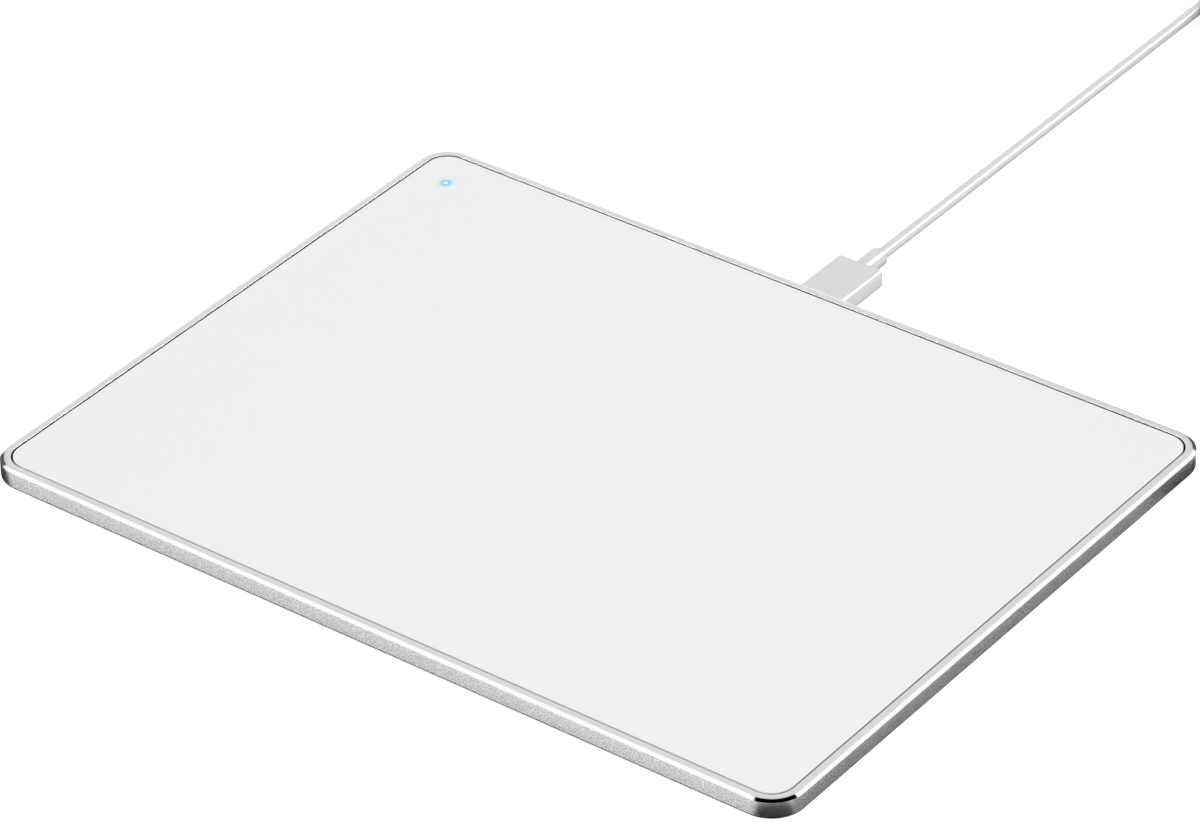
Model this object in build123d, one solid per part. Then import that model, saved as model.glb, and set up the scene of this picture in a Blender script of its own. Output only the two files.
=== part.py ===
"""A glass touch pad in a metal frame, with a sprung touch plate, a tray below and its charging lead.

Lengths are in millimetres. The origin is on the table under the middle of the pad, with +X to the
right, +Y to the rear, where the lead comes out, and +Z up.
"""

from build123d import *
import math
import os

os.makedirs("parts", exist_ok=True)

# Overall pad
pad_width = 180.0
pad_depth = 136.7
corner_radius = 6.8
edge_height = 3.92

# Gaps and small clearances that several pieces share
overrun = 5.0
snug = 0.02
slip = 0.05
loose = 0.3

# Heights of the stack, from the table to the glass
foot_height = 0.7
floor_thick = 1.0
cavity_height = 4.15
plate_thick = 0.55
sensor_thick = 0.8
film_thick = 0.1
glass_thick = 1.1
floor_top = foot_height + floor_thick
plate_low = floor_top + cavity_height
sensor_low = plate_low + plate_thick
film_low = sensor_low + sensor_thick
glass_low = film_low + film_thick
pad_height = glass_low + glass_thick
frame_low = pad_height - edge_height

# How the tray's corners widen as its sides draw in
corner_growth = 0.25


def block(width, depth, low, high, x=0, y=0, radius=0):
    """An upright block between two heights, with round corners when a radius is given."""
    outline = RectangleRounded(width, depth, radius) if radius > 0 else Rectangle(width, depth)
    return Pos(x, y, low) * extrude(outline, high - low)


def disc(radius, low, high, x=0, y=0):
    """An upright cylinder between two heights."""
    return Pos(x, y, low) * extrude(Circle(radius), high - low)


def slope(low_inset, high_inset, low, high):
    """The pad's outline with one inset at the bottom and another at the top."""
    under = RectangleRounded(
        pad_width - 2 * low_inset, pad_depth - 2 * low_inset, corner_radius + corner_growth * low_inset
    )
    over = RectangleRounded(
        pad_width - 2 * high_inset, pad_depth - 2 * high_inset, corner_radius + corner_growth * high_inset
    )
    return loft([Pos(0, 0, low) * under, Pos(0, 0, high) * over], ruled=True)


def inset_block(inset, low, high):
    """The pad's outline, drawn in by one length all round, between two heights."""
    outline = RectangleRounded(pad_width - 2 * inset, pad_depth - 2 * inset, corner_radius - inset)
    return Pos(0, 0, low) * extrude(outline, high - low)


def inset_slope(low_inset, high_inset, low, high):
    """The pad's outline drawn in by one length at the bottom and another at the top."""
    under = RectangleRounded(pad_width - 2 * low_inset, pad_depth - 2 * low_inset, corner_radius - low_inset)
    over = RectangleRounded(
        pad_width - 2 * high_inset, pad_depth - 2 * high_inset, corner_radius - high_inset
    )
    return loft([Pos(0, 0, low) * under, Pos(0, 0, high) * over], ruled=True)


def rearward(outline, x, z, start, length):
    """An outline drawn across the lead's direction and carried towards the rear."""
    plane = Plane(origin=(x, start, z), x_dir=(1, 0, 0), z_dir=(0, 1, 0))
    return extrude(plane * outline, length)


def side_view(points, x_middle, width):
    """A closed side view, as points of depth and height, carried across to a width."""
    plane = Plane(origin=(x_middle - width / 2, 0, 0), x_dir=(0, 1, 0), z_dir=(1, 0, 0))
    return extrude(plane * make_face(Polyline(*points, close=True)), width)


def save(name, *shapes):
    """Write one piece, or a group of like pieces that stay separate solids."""
    solids = [solid for shape in shapes for solid in shape.solids()]
    whole = solids[0] if len(solids) == 1 else Compound(children=solids)
    whole.label = name
    export_step(whole, f"parts/{name}.step")


# Metal frame: a wall round the glass, a polished bevel, and an inner flange with screw lugs
wall = 2.025
bevel_width = 0.77
bevel_drop = 0.37
inner_bevel = 0.12
lower_bevel = 0.18
flange_reach = 3.5
flange_thick = 0.7
lug_radius = 3.2
lug_inset = 9.5
lug_drop = 0.9
lug_board_gap = 5.0
board_width = 50.0
bevel_low = pad_height - bevel_drop
rim_low = frame_low + flange_thick
flange_inset = wall + flange_reach
lug_low = frame_low - lug_drop
lug_x = pad_width / 2 - lug_inset
lug_y = pad_depth / 2 - lug_inset
middle_lug_x = board_width / 2 + lug_board_gap
lug_places = [
    (side * x, end * lug_y)
    for side in (-1, 1)
    for end in (-1, 1)
    for x in (lug_x, middle_lug_x)
]

# Screws: flat heads in the tray, pan heads inside
screw_radius = 0.8
sunk_head_radius = 1.5
sunk_head_height = 0.7
pan_head_radius = 1.6
pan_head_height = 0.5
cross_width = 0.4
cross_share = 0.6
cross_depth_share = 0.5
thread_depth = 2.2

# Socket in the rear of the tray, and the collar round its mouth
socket_width = 8.94
socket_height = 3.16
socket_length = 7.35
socket_skin = 0.3
socket_recess = 0.35
socket_back = 1.25
tongue_width = 6.6
tongue_thick = 0.7
tongue_length = 4.7
contact_width = 0.3
contact_pitch = 0.75
contact_count = 8
contact_thick = 0.04
contact_length_share = 0.8
collar_wall = 1.1
port_z = floor_top + snug + socket_height / 2
mouth_y = pad_depth / 2
socket_front_y = mouth_y - socket_recess
socket_rear_y = socket_front_y - socket_length
collar_width = socket_width + 2 * collar_wall
collar_top = port_z + socket_height / 2 + socket_skin + slip


def bezel_frame():
    """The frame, milled from one ring of aluminium."""
    ring = inset_slope(lower_bevel, 0, frame_low, frame_low + lower_bevel)
    ring += inset_block(0, frame_low + lower_bevel, bevel_low)
    ring += inset_slope(0, bevel_width, bevel_low, pad_height)
    ring -= inset_block(wall, rim_low, pad_height + overrun)
    ring -= inset_slope(wall, wall - inner_bevel, pad_height - inner_bevel, pad_height)
    ring -= block(
        pad_width - 2 * flange_inset, pad_depth - 2 * flange_inset, frame_low - overrun, rim_low + overrun,
        radius=corner_radius - wall,
    )
    for x, y in lug_places:
        end = math.copysign(1, y)
        reach = pad_depth / 2 - flange_inset - abs(y) + flange_reach / 2
        lug = disc(lug_radius, lug_low, rim_low, x, y)
        lug += block(2 * lug_radius, reach, frame_low, rim_low, x, y + end * reach / 2)
        ring += lug
    for x, y in lug_places:
        ring -= disc(screw_radius + snug, lug_low - overrun, rim_low + overrun, x, y)
    notch_depth = flange_inset + overrun
    ring -= block(
        collar_width + 2 * slip, notch_depth, frame_low - overrun, collar_top + slip,
        y=mouth_y - flange_inset - slip + notch_depth / 2,
    )
    return ring


# Tray: a drafted shell under the frame, closed at the top by the frame's flange
tray_top_inset = 0.6
tray_low_inset = 5.2
tray_wall = 1.7
boss_wall = 1.7
rib_thick = 1.0
rib_height = 0.8
foot_radius = 6.0
foot_inset = 20.0
foot_pocket = 0.4
foot_round = 0.35
foot_x = pad_width / 2 - foot_inset
foot_y = pad_depth / 2 - foot_inset
foot_places = [(side * foot_x, end * foot_y) for side in (-1, 1) for end in (-1, 1)]

# Stiffening ribs on the tray's floor, right of the battery
floor_rib_shares = [0.06, 0.19, 0.32]
cross_rib_shares = [-0.36, 0.0, 0.36]

# Spring hinges at the rear that carry the touch plate
hinge_side_inset = 30.0
hinge_inset = 9.5
leaf_width = 14.0
leaf_thick = 0.3
leaf_foot = 6.0
leaf_ramp = 2.0
leaf_arm = 10.0
leaf_step = 0.5
leaf_screw_pitch = 8.0
leaf_hole_radius = 1.1
hinge_x = pad_width / 2 - hinge_side_inset
hinge_y = pad_depth / 2 - hinge_inset
leaf_high = plate_low
leaf_low = plate_low - leaf_thick
foot_leaf_high = leaf_high - leaf_step
foot_leaf_low = foot_leaf_high - leaf_thick
hinge_boss_top = foot_leaf_low - slip
leaf_screw_y = hinge_y - leaf_foot / 2 - leaf_ramp - leaf_arm / 2

# Click switch under the front of the touch plate
switch_front_gap = 12.3
switch_board_width = 13.0
switch_board_depth = 10.0
switch_platform = 0.6
switch_width = 6.2
switch_cup_height = 1.2
switch_cup_radius = 2.5
switch_cup_floor = 0.4
switch_leg_share = 1 / 3
switch_cover_thick = 0.2
plunger_radius = 1.1
plunger_flange_radius = 1.7
plunger_flange_thick = 0.2
plunger_stand = 0.45
dome_thick = 0.08
dome_radius = 2.3
pad_radius = 2.5
pad_lip = 0.3
stake_radius = 0.75
switch_y = switch_front_gap - pad_depth / 2
platform_top = floor_top + switch_platform
switch_board_low = platform_top
switch_low = switch_board_low + sensor_thick
cup_floor_z = switch_low + switch_cup_floor
cup_high = switch_low + switch_cup_height
cover_high = cup_high + switch_cover_thick
plunger_high = cover_high + plunger_stand
plunger_low = cup_high - slip - plunger_flange_thick
dome_rise = plunger_low - snug - cup_floor_z
stake_x = switch_board_width / 2 - 2 * stake_radius

# Main board behind the middle, with the socket sunk into its rear edge
board_thick = 0.8
board_depth = 28.0
board_rear_gap = 4.3
board_rise = 1.4
board_boss_inset = 4.0
board_boss_radius = 2.2
board_rear_y = pad_depth / 2 - board_rear_gap
board_y = board_rear_y - board_depth / 2
board_front_y = board_rear_y - board_depth
board_low = floor_top + board_rise
board_top = board_low + board_thick
board_boss_places = [
    (side * (board_width / 2 - board_boss_inset), board_y + end * (board_depth / 2 - board_boss_inset))
    for side in (-1, 1)
    for end in (-1, 1)
]

# Power slide and pairing button in the tray's floor, under the main board
slot_y_gap = 9.0
slide_x = -11.0
slide_travel = 2.0
slide_knob_width = 3.2
slide_knob_depth = 2.6
slide_sink = 0.1
slide_flange = 1.0
slide_flange_thick = 0.4
slide_peg_width = 1.0
slide_peg_rise = 0.35
slide_grip_count = 3
slide_grip_width = 0.3
slide_grip_depth = 0.2
grip_pitch_share = 1.6
pair_x = 11.0
pair_radius = 2.0
pair_flange = 0.8
pair_flange_thick = 0.35
pair_travel = 0.25
pair_dish = 0.15
control_y = board_front_y + slot_y_gap
slot_width = slide_knob_width + slide_travel + 2 * loose
slot_depth = slide_knob_depth + 2 * loose
slot_x = slide_x - slide_travel / 2

# Flat cable from the click switch, along the tray's floor
flat_width = 3.0
flat_thick = 0.2
flat_x = 3.0
flat_ramp = 3.0
flat_solder = 1.0
flat_side_gap = 12.5

# Battery on the left of the tray, between its side wall and the flat cable
cell_side_gap = 17.0
cell_depth = 44.0
cell_thick = 2.6
cell_round = 0.9
cell_y = -12.0
tape_thick = 0.1
tape_inset = 4.0
cell_rib_gap = 0.5
cell_board_depth = 4.0
cell_board_thick = 1.2
cell_left_x = cell_side_gap - pad_width / 2
cell_right_x = flat_x - flat_width / 2 - flat_side_gap
cell_width = cell_right_x - cell_left_x
cell_x = (cell_left_x + cell_right_x) / 2


def tray_boss(radius, hole_radius, high, x, y, hole_low):
    """A round boss on the tray's floor and the hole that goes in it."""
    boss = disc(radius, floor_top - floor_thick / 2, high, x, y)
    return boss, disc(hole_radius, hole_low, high + overrun, x, y)


def bottom_tray():
    """The moulded tray, with every boss, rib, pocket and opening that it carries."""
    draft = (tray_low_inset - tray_top_inset) / (frame_low - foot_height)
    floor_inset = tray_low_inset - draft * floor_thick + tray_wall
    shell = slope(tray_low_inset, tray_top_inset, foot_height, frame_low)
    shell -= slope(floor_inset, tray_top_inset + tray_wall, floor_top, frame_low)
    solid_adds = []
    cuts = []
    for x, y in lug_places:
        solid_adds.append(disc(screw_radius + boss_wall, floor_top - floor_thick / 2, lug_low - snug, x, y))
        cuts.append(disc(screw_radius + slip, foot_height - overrun, lug_low + overrun, x, y))
        sink = Cone(
            sunk_head_radius + slip, screw_radius + slip, sunk_head_height,
            align=(Align.CENTER, Align.CENTER, Align.MIN),
        )
        cuts.append(Pos(x, y, foot_height) * sink)
    for x in (-hinge_x, hinge_x):
        boss, hole = tray_boss(leaf_foot / 2, screw_radius + snug, hinge_boss_top, x, hinge_y, floor_top)
        solid_adds.append(boss)
        cuts.append(hole)
    for x, y in board_boss_places:
        boss, hole = tray_boss(
            board_boss_radius, screw_radius + snug, board_low, x, y, foot_height + floor_thick / 2
        )
        solid_adds.append(boss)
        cuts.append(hole)
    platform_low = floor_top - floor_thick / 2
    solid_adds.append(block(switch_board_width, switch_board_depth, platform_low, platform_top, y=switch_y))
    for side in (-1, 1):
        solid_adds.append(
            disc(stake_radius, platform_low, switch_low + loose, side * stake_x, switch_y)
        )
    frame_outer = block(
        cell_width + 2 * (cell_rib_gap + rib_thick), cell_depth + 2 * (cell_rib_gap + rib_thick),
        platform_low, floor_top + rib_height, cell_x, cell_y,
    )
    frame_inner = block(
        cell_width + 2 * cell_rib_gap, cell_depth + 2 * cell_rib_gap,
        platform_low - overrun, floor_top + overrun, cell_x, cell_y,
    )
    solid_adds.append(frame_outer - frame_inner)
    rib_run = pad_depth / 2
    rib_top = floor_top + rib_height
    cross_run = pad_width * (floor_rib_shares[-1] - floor_rib_shares[0])
    cross_x = pad_width * (floor_rib_shares[0] + floor_rib_shares[-1]) / 2
    for share in floor_rib_shares:
        solid_adds.append(block(rib_thick, rib_run, platform_low, rib_top, x=pad_width * share))
    for share in cross_rib_shares:
        solid_adds.append(block(cross_run, rib_thick, platform_low, rib_top, cross_x, rib_run * share))
    collar_depth = board_rear_gap - slip
    collar_low = foot_height + lower_bevel
    collar = block(collar_width, collar_depth, collar_low, collar_top, y=mouth_y - collar_depth / 2)
    for piece in solid_adds:
        shell += piece
    shell += collar
    for x, y in foot_places:
        cuts.append(disc(foot_radius + slip, foot_height - overrun, foot_height + foot_pocket, x, y))
    socket_hole = SlotOverall(socket_width + 2 * slip, socket_height + 2 * snug)
    cuts.append(rearward(socket_hole, 0, port_z, socket_rear_y - slip, socket_length + overrun))
    cuts.append(block(slot_width, slot_depth, foot_height - overrun, floor_top + overrun, slot_x, control_y))
    cuts.append(disc(pair_radius + loose, foot_height - overrun, floor_top + overrun, pair_x, control_y))
    for piece in cuts:
        shell -= piece
    return shell


def crossed(head, high, x, y, radius):
    """Cut a cross recess into the top or bottom of a screw head, at a height."""
    arm = 2 * radius * cross_share
    depth = pan_head_height * cross_depth_share
    for width, length in ((arm, cross_width), (cross_width, arm)):
        head -= block(width, length, high - depth, high + depth, x, y)
    return head


def sunk_screw(x, y):
    """A flat-headed screw that goes up through the tray into a lug of the frame."""
    head = Cone(
        sunk_head_radius, screw_radius, sunk_head_height, align=(Align.CENTER, Align.CENTER, Align.MIN)
    )
    screw = Pos(x, y, foot_height) * head
    screw += disc(screw_radius, foot_height + sunk_head_height, rim_low - slip, x, y)
    return crossed(screw, foot_height, x, y, sunk_head_radius)


def pan_screw(x, y, seat, depth):
    """A pan-headed screw with its head on a seat and its shank going down."""
    head = disc(pan_head_radius, seat, seat + pan_head_height, x, y)
    head = fillet(head.edges().group_by(Axis.Z)[-1], pan_head_height / 2)
    screw = head + disc(screw_radius, seat - depth, seat, x, y)
    return crossed(screw, seat + pan_head_height, x, y, pan_head_radius)


def upward_screw(x, y, seat, depth):
    """A pan-headed screw whose shank goes up."""
    screw = disc(pan_head_radius, seat - pan_head_height, seat, x, y)
    screw += disc(screw_radius, seat, seat + depth, x, y)
    return crossed(screw, seat - pan_head_height, x, y, pan_head_radius)


def rubber_foot(x, y):
    """A round rubber foot, glued into its pocket."""
    foot = disc(foot_radius, 0, foot_height + foot_pocket, x, y)
    return fillet(foot.edges().group_by(Axis.Z)[0], foot_round)


save("bezel_frame", bezel_frame())
save("bottom_tray", bottom_tray())
save("tray_screws", *[sunk_screw(x, y) for x, y in lug_places])
save("rubber_feet", *[rubber_foot(x, y) for x, y in foot_places])

# Touch plate: glass, film, sensor board and steel stiffener, in one bonded stack
glass_gap = 0.4
glass_bevel = 0.08
film_inset = 0.4
sensor_inset = 1.0
stiffener_inset = 2.2
layer_corner_share = 0.9
led_side_inset = 10.0
led_rear_inset = 11.25
led_hole_radius = 1.0
led_length = 1.6
led_width = 0.8
led_height = 0.45
chip_width = 7.0
chip_height = 0.75
chip_x = 30.0
chip_window_gap = 3.0
part_length = 1.6
part_width = 0.8
part_height = 0.5
part_pitch = 2.4
ribbon_width = 8.0
ribbon_thick = 0.12
ribbon_screw_gap = 1.4
ribbon_socket_width = 11.0
ribbon_socket_depth = 3.6
ribbon_socket_height = 1.0
ribbon_socket_gap = 9.95
ribbon_fold = 1.6
socket_slot_share = 0.4
tab_width = 8.0
tab_gap = 0.5
tab_reach = 2.2
plate_hole_radius = 0.8
led_x = led_side_inset - pad_width / 2
led_y = pad_depth / 2 - led_rear_inset
glass_width = pad_width - 2 * (wall + glass_gap)
glass_depth = pad_depth - 2 * (wall + glass_gap)
glass_radius = corner_radius - wall - glass_gap
stiffener_front_y = stiffener_inset - glass_depth / 2
led_window = 2 * led_length
tab_x = (lug_x + middle_lug_x) / 2
chip_window = chip_width + chip_window_gap
ribbon_x = pan_head_radius + ribbon_screw_gap + ribbon_socket_width / 2 + board_boss_inset - board_width / 2
ribbon_socket_y = board_front_y + ribbon_socket_gap
ribbon_window_width = ribbon_socket_width + chip_window_gap
ribbon_window_y = ribbon_socket_y + ribbon_socket_depth / 2 + chip_window_gap / 2
ribbon_window_depth = ribbon_window_y - board_front_y + 2 * ribbon_fold + chip_window_gap
notch_width = leaf_width + 2 * loose
notch_front_y = hinge_y - leaf_foot / 2 - loose
leaf_screw_places = [
    (side * hinge_x + end * leaf_screw_pitch / 2, leaf_screw_y) for side in (-1, 1) for end in (-1, 1)
]


def layer(inset, low, high):
    """One sheet of the touch plate, drawn in from the glass all round."""
    radius = glass_radius - inset * layer_corner_share
    return block(glass_width - 2 * inset, glass_depth - 2 * inset, low, high, radius=radius)


def cover_glass():
    """The glass sheet, with its upper edge eased."""
    sheet = layer(0, glass_low, pad_height)
    return chamfer(sheet.edges().group_by(Axis.Z)[-1], glass_bevel)


def stiffener_plate():
    """The steel plate under the sensor board, with windows, hinge notches and stop tabs."""
    sheet = layer(stiffener_inset, plate_low, sensor_low)
    low, high = plate_low - overrun, sensor_low + overrun
    sheet -= block(led_window, led_window, low, high, led_x, led_y, radius=led_hole_radius)
    sheet -= block(chip_window, chip_window, low, high, chip_x, 0, radius=led_hole_radius)
    sheet -= block(
        ribbon_window_width, ribbon_window_depth, low, high, ribbon_x,
        ribbon_window_y - ribbon_window_depth / 2, radius=led_hole_radius,
    )
    notch_length = glass_depth
    for side in (-1, 1):
        sheet -= block(notch_width, notch_length, low, high, side * hinge_x, notch_front_y + notch_length / 2)
    for x, y in leaf_screw_places:
        sheet -= disc(plate_hole_radius + snug, low, high, x, y)
    for side in (-1, 1):
        leg_y = flange_inset + tab_gap - pad_depth / 2
        toe_high = frame_low - slip
        toe_low = toe_high - plate_thick
        leg = side_view(
            [
                (leg_y, sensor_low), (leg_y + plate_thick, sensor_low), (leg_y + plate_thick, toe_low),
                (leg_y - tab_reach, toe_low), (leg_y - tab_reach, toe_high), (leg_y, toe_high),
            ],
            side * tab_x, tab_width,
        )
        front = leg_y + plate_thick - stiffener_front_y
        slot_x_size = tab_width + 2 * plate_thick
        sheet -= block(
            slot_x_size, front + overrun, low, high, side * tab_x, leg_y + plate_thick - (front + overrun) / 2
        )
        sheet += leg
    return sheet


def led_chip():
    """The indicator lamp, soldered under the sensor board and shining up through its hole."""
    return block(led_length, led_width, sensor_low - led_height, sensor_low, led_x, led_y)


def touch_chips():
    """The touch controller and the small parts beside it, under the sensor board."""
    chip = block(chip_width, chip_width, sensor_low - chip_height, sensor_low, chip_x, 0)
    parts = [chip]
    edge = chip_x + chip_width / 2 + part_width
    for step in (-1, 0, 1):
        parts.append(
            block(part_width, part_length, sensor_low - part_height, sensor_low, edge, step * part_pitch)
        )
    return parts


def ribbon_socket(low, high, y, slot_z):
    """A flat-cable connector, open to the front, with a slot for the ribbon."""
    body = block(ribbon_socket_width, ribbon_socket_depth, low, high, ribbon_x, y)
    slot = ribbon_thick + 4 * slip
    return body - block(
        ribbon_width + 2 * loose, ribbon_socket_depth, slot_z - slot / 2, slot_z + slot / 2,
        ribbon_x, y - ribbon_socket_depth * socket_slot_share,
    )


def leaf_spring(side):
    """A steel leaf, screwed under the plate and held by its foot on the tray's boss."""
    rear = hinge_y + leaf_foot / 2
    toe = hinge_y - leaf_foot / 2
    knee = toe - leaf_ramp
    front = knee - leaf_arm
    line = [(rear, foot_leaf_high), (toe, foot_leaf_high), (knee, leaf_high), (front, leaf_high)]
    under = [(y, z - leaf_thick) for y, z in reversed(line)]
    leaf = side_view(line + under, side * hinge_x, leaf_width)
    leaf -= disc(leaf_hole_radius, floor_top, pad_height, side * hinge_x, hinge_y)
    for end in (-1, 1):
        x = side * hinge_x + end * leaf_screw_pitch / 2
        leaf -= disc(screw_radius + slip, floor_top, pad_height, x, leaf_screw_y)
    return leaf


def strike_pad():
    """The hard pad under the plate that presses the switch."""
    pad = disc(pad_radius, plunger_high + snug, plate_low, 0, switch_y)
    return chamfer(pad.edges().group_by(Axis.Z)[0], pad_lip)


ribbon_upper_z = sensor_low - ribbon_socket_height / 2
save("cover_glass", cover_glass())
save(
    "glass_film",
    layer(film_inset, film_low, glass_low)
    - disc(led_hole_radius, film_low - overrun, glass_low + overrun, led_x, led_y),
)
save(
    "sensor_board",
    layer(sensor_inset, sensor_low, film_low)
    - disc(led_hole_radius, sensor_low - overrun, film_low + overrun, led_x, led_y),
)
save("led_lens", disc(led_hole_radius - snug, sensor_low + snug, glass_low - snug, led_x, led_y))
save("indicator_led", led_chip())
save("touch_chips", *touch_chips())
save(
    "touch_connector",
    ribbon_socket(sensor_low - ribbon_socket_height, sensor_low, ribbon_socket_y, ribbon_upper_z),
)
save("stiffener_plate", stiffener_plate())
save("leaf_springs", *[leaf_spring(side) for side in (-1, 1)])
save(
    "leaf_screws",
    *[upward_screw(x, y, leaf_low, leaf_thick + plate_thick - slip) for x, y in leaf_screw_places],
)
save(
    "hinge_screws",
    *[
        pan_screw(side * hinge_x, hinge_y, foot_leaf_high + slip, leaf_thick + thread_depth)
        for side in (-1, 1)
    ],
)
save("strike_pad", strike_pad())


def switch_base():
    """The switch's moulded cup."""
    cup = block(switch_width, switch_width, switch_low, cup_high, y=switch_y)
    return cup - disc(switch_cup_radius, cup_floor_z, cup_high + overrun, 0, switch_y)


def switch_dome():
    """The sprung metal dome in the cup."""
    half = dome_radius
    outer = (half * half + dome_rise * dome_rise) / (2 * dome_rise)
    inner = outer - dome_thick
    centre_z = cup_floor_z + dome_rise - outer
    edge_z = cup_floor_z
    inner_half = math.sqrt(inner * inner - (edge_z - centre_z) ** 2)
    top = centre_z + outer
    under = centre_z + inner
    bend = math.asin(half / outer) / 2
    mid_outer = (outer * math.sin(bend), centre_z + outer * math.cos(bend))
    inner_bend = math.asin(inner_half / inner) / 2
    mid_inner = (inner * math.sin(inner_bend), centre_z + inner * math.cos(inner_bend))
    outline = Line((0, under), (0, top)) + ThreePointArc((0, top), mid_outer, (half, edge_z))
    outline += Line((half, edge_z), (inner_half, edge_z))
    outline += ThreePointArc((inner_half, edge_z), mid_inner, (0, under))
    return Pos(0, switch_y, 0) * revolve(Plane.XZ * make_face(outline), Axis.Z)


def switch_cover():
    """The pressed steel cover that holds the plunger in the cup."""
    cover = block(switch_width, switch_width, cup_high, cover_high, y=switch_y)
    cover -= disc(plunger_radius + slip, cup_high - overrun, cover_high + overrun, 0, switch_y)
    for side in (-1, 1):
        clip_x = side * (switch_width + switch_cover_thick) / 2
        clip_width = switch_width * switch_leg_share
        cover += block(switch_cover_thick, clip_width, cup_floor_z, cover_high, clip_x, switch_y)
    return cover


def switch_plunger():
    """The switch's button, held under the cover by its flange."""
    flange = disc(plunger_flange_radius, plunger_low, plunger_low + plunger_flange_thick, 0, switch_y)
    return flange + disc(plunger_radius, plunger_low, plunger_high, 0, switch_y)


def switch_terminals():
    """Four soldered legs beside the switch."""
    legs = []
    leg = switch_cover_thick
    leg_high = cup_floor_z - slip
    for side in (-1, 1):
        x = side * (switch_width / 2 + leg)
        for end in (-1, 1):
            y = switch_y + end * switch_width * switch_leg_share
            legs.append(block(2 * leg, 2 * leg, switch_low, leg_high, x, y))
    return legs


switch_board_hole = stake_radius + slip
switch_board = block(switch_board_width, switch_board_depth, switch_board_low, switch_low, y=switch_y)
for side in (-1, 1):
    switch_board -= disc(
        switch_board_hole, switch_board_low - overrun, switch_low + overrun, side * stake_x, switch_y
    )
save("switch_board", switch_board)
save("switch_base", switch_base())
save("switch_dome", switch_dome())
save("switch_plunger", switch_plunger())
save("switch_cover", switch_cover())
save("switch_terminals", *switch_terminals())


def main_board():
    """The main board, cut out round the sunk socket."""
    board = block(board_width, board_depth, board_low, board_top, y=board_y)
    cut_depth = board_rear_y - socket_rear_y + slip
    board -= block(
        socket_width + 2 * slip, cut_depth + overrun, board_low - overrun, board_top + overrun,
        y=board_rear_y - cut_depth + (cut_depth + overrun) / 2,
    )
    for x, y in board_boss_places:
        board -= disc(screw_radius + slip, board_low - overrun, board_top + overrun, x, y)
    return board


# Parts on the main board
radio_width = 6.0
radio_side_gap = 11.0
power_chip_width = 4.0
chip_can_gap = 3.5
can_width = 11.0
can_depth = 9.0
can_height = 1.0
can_skin = 0.15
lower_chip_height = 0.7
battery_socket_width = 5.0
battery_socket_depth = 3.4
battery_socket_height = 1.1
battery_socket_gap = 1.5
part_row_gap = 9.95
part_count = 5
radio_x = board_width / 2 - radio_side_gap
power_chip_x = radio_x - can_width / 2 - chip_can_gap - power_chip_width / 2
battery_socket_x = ribbon_x + ribbon_socket_width / 2 + battery_socket_gap + battery_socket_width / 2
part_row_y = board_front_y + part_row_gap


def board_chips():
    """The power chip and rows of small parts; the radio chip sits under the shield."""
    chip_high = board_top + lower_chip_height
    chips = [
        block(radio_width, radio_width, board_top, chip_high, radio_x, board_y),
        block(power_chip_width, power_chip_width, board_top, chip_high, power_chip_x, board_y),
    ]
    for number in range(part_count):
        x = power_chip_x + (number - (part_count - 1) / 2) * part_pitch
        chips.append(block(part_width, part_length, board_top, board_top + part_height, x, part_row_y))
    return chips


def shield_can():
    """The folded metal shield over the radio chip."""
    can = block(can_width, can_depth, board_top, board_top + can_height, radio_x, board_y)
    return can - block(
        can_width - 2 * can_skin, can_depth - 2 * can_skin, board_top - overrun,
        board_top + can_height - can_skin, radio_x, board_y,
    )


def battery_socket():
    """The two-way connector that the battery's leads end in."""
    y = board_front_y + battery_socket_depth / 2 + slip
    return block(
        battery_socket_width, battery_socket_depth, board_top, board_top + battery_socket_height,
        battery_socket_x, y,
    )


save("main_board", main_board())
save("board_screws", *[pan_screw(x, y, board_top, thread_depth) for x, y in board_boss_places])
save("board_chips", *board_chips())
save("shield_can", shield_can())
save("battery_connector", battery_socket())

# Folded ribbon from the sensor board to the main board, and its lower connector
ribbon_lower_y = board_front_y + ribbon_socket_depth / 2 + slip
ribbon_lower_z = board_top + ribbon_socket_height / 2
save(
    "ribbon_connector",
    ribbon_socket(board_top, board_top + ribbon_socket_height, ribbon_lower_y, ribbon_lower_z),
)


def touch_ribbon():
    """The flat cable, folded in front of both connectors."""
    upper_end = ribbon_socket_y - ribbon_socket_depth * socket_slot_share
    lower_end = ribbon_lower_y - ribbon_socket_depth * socket_slot_share
    fold_y = board_front_y - 2 * ribbon_fold
    bend = ribbon_upper_z - ribbon_lower_z
    half = ribbon_thick / 2
    outer = Line((upper_end, ribbon_upper_z + half), (fold_y, ribbon_upper_z + half))
    outer += ThreePointArc(
        (fold_y, ribbon_upper_z + half),
        (fold_y - bend / 2 - half, ribbon_lower_z + bend / 2),
        (fold_y, ribbon_lower_z - half),
    )
    outer += Line((fold_y, ribbon_lower_z - half), (lower_end, ribbon_lower_z - half))
    outer += Line((lower_end, ribbon_lower_z - half), (lower_end, ribbon_lower_z + half))
    outer += Line((lower_end, ribbon_lower_z + half), (fold_y, ribbon_lower_z + half))
    outer += ThreePointArc(
        (fold_y, ribbon_lower_z + half),
        (fold_y - bend / 2 + half, ribbon_lower_z + bend / 2),
        (fold_y, ribbon_upper_z - half),
    )
    outer += Line((fold_y, ribbon_upper_z - half), (upper_end, ribbon_upper_z - half))
    outer += Line((upper_end, ribbon_upper_z - half), (upper_end, ribbon_upper_z + half))
    plane = Plane(origin=(ribbon_x - ribbon_width / 2, 0, 0), x_dir=(0, 1, 0), z_dir=(1, 0, 0))
    return extrude(plane * make_face(outer), ribbon_width)


save("touch_ribbon", touch_ribbon())

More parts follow.
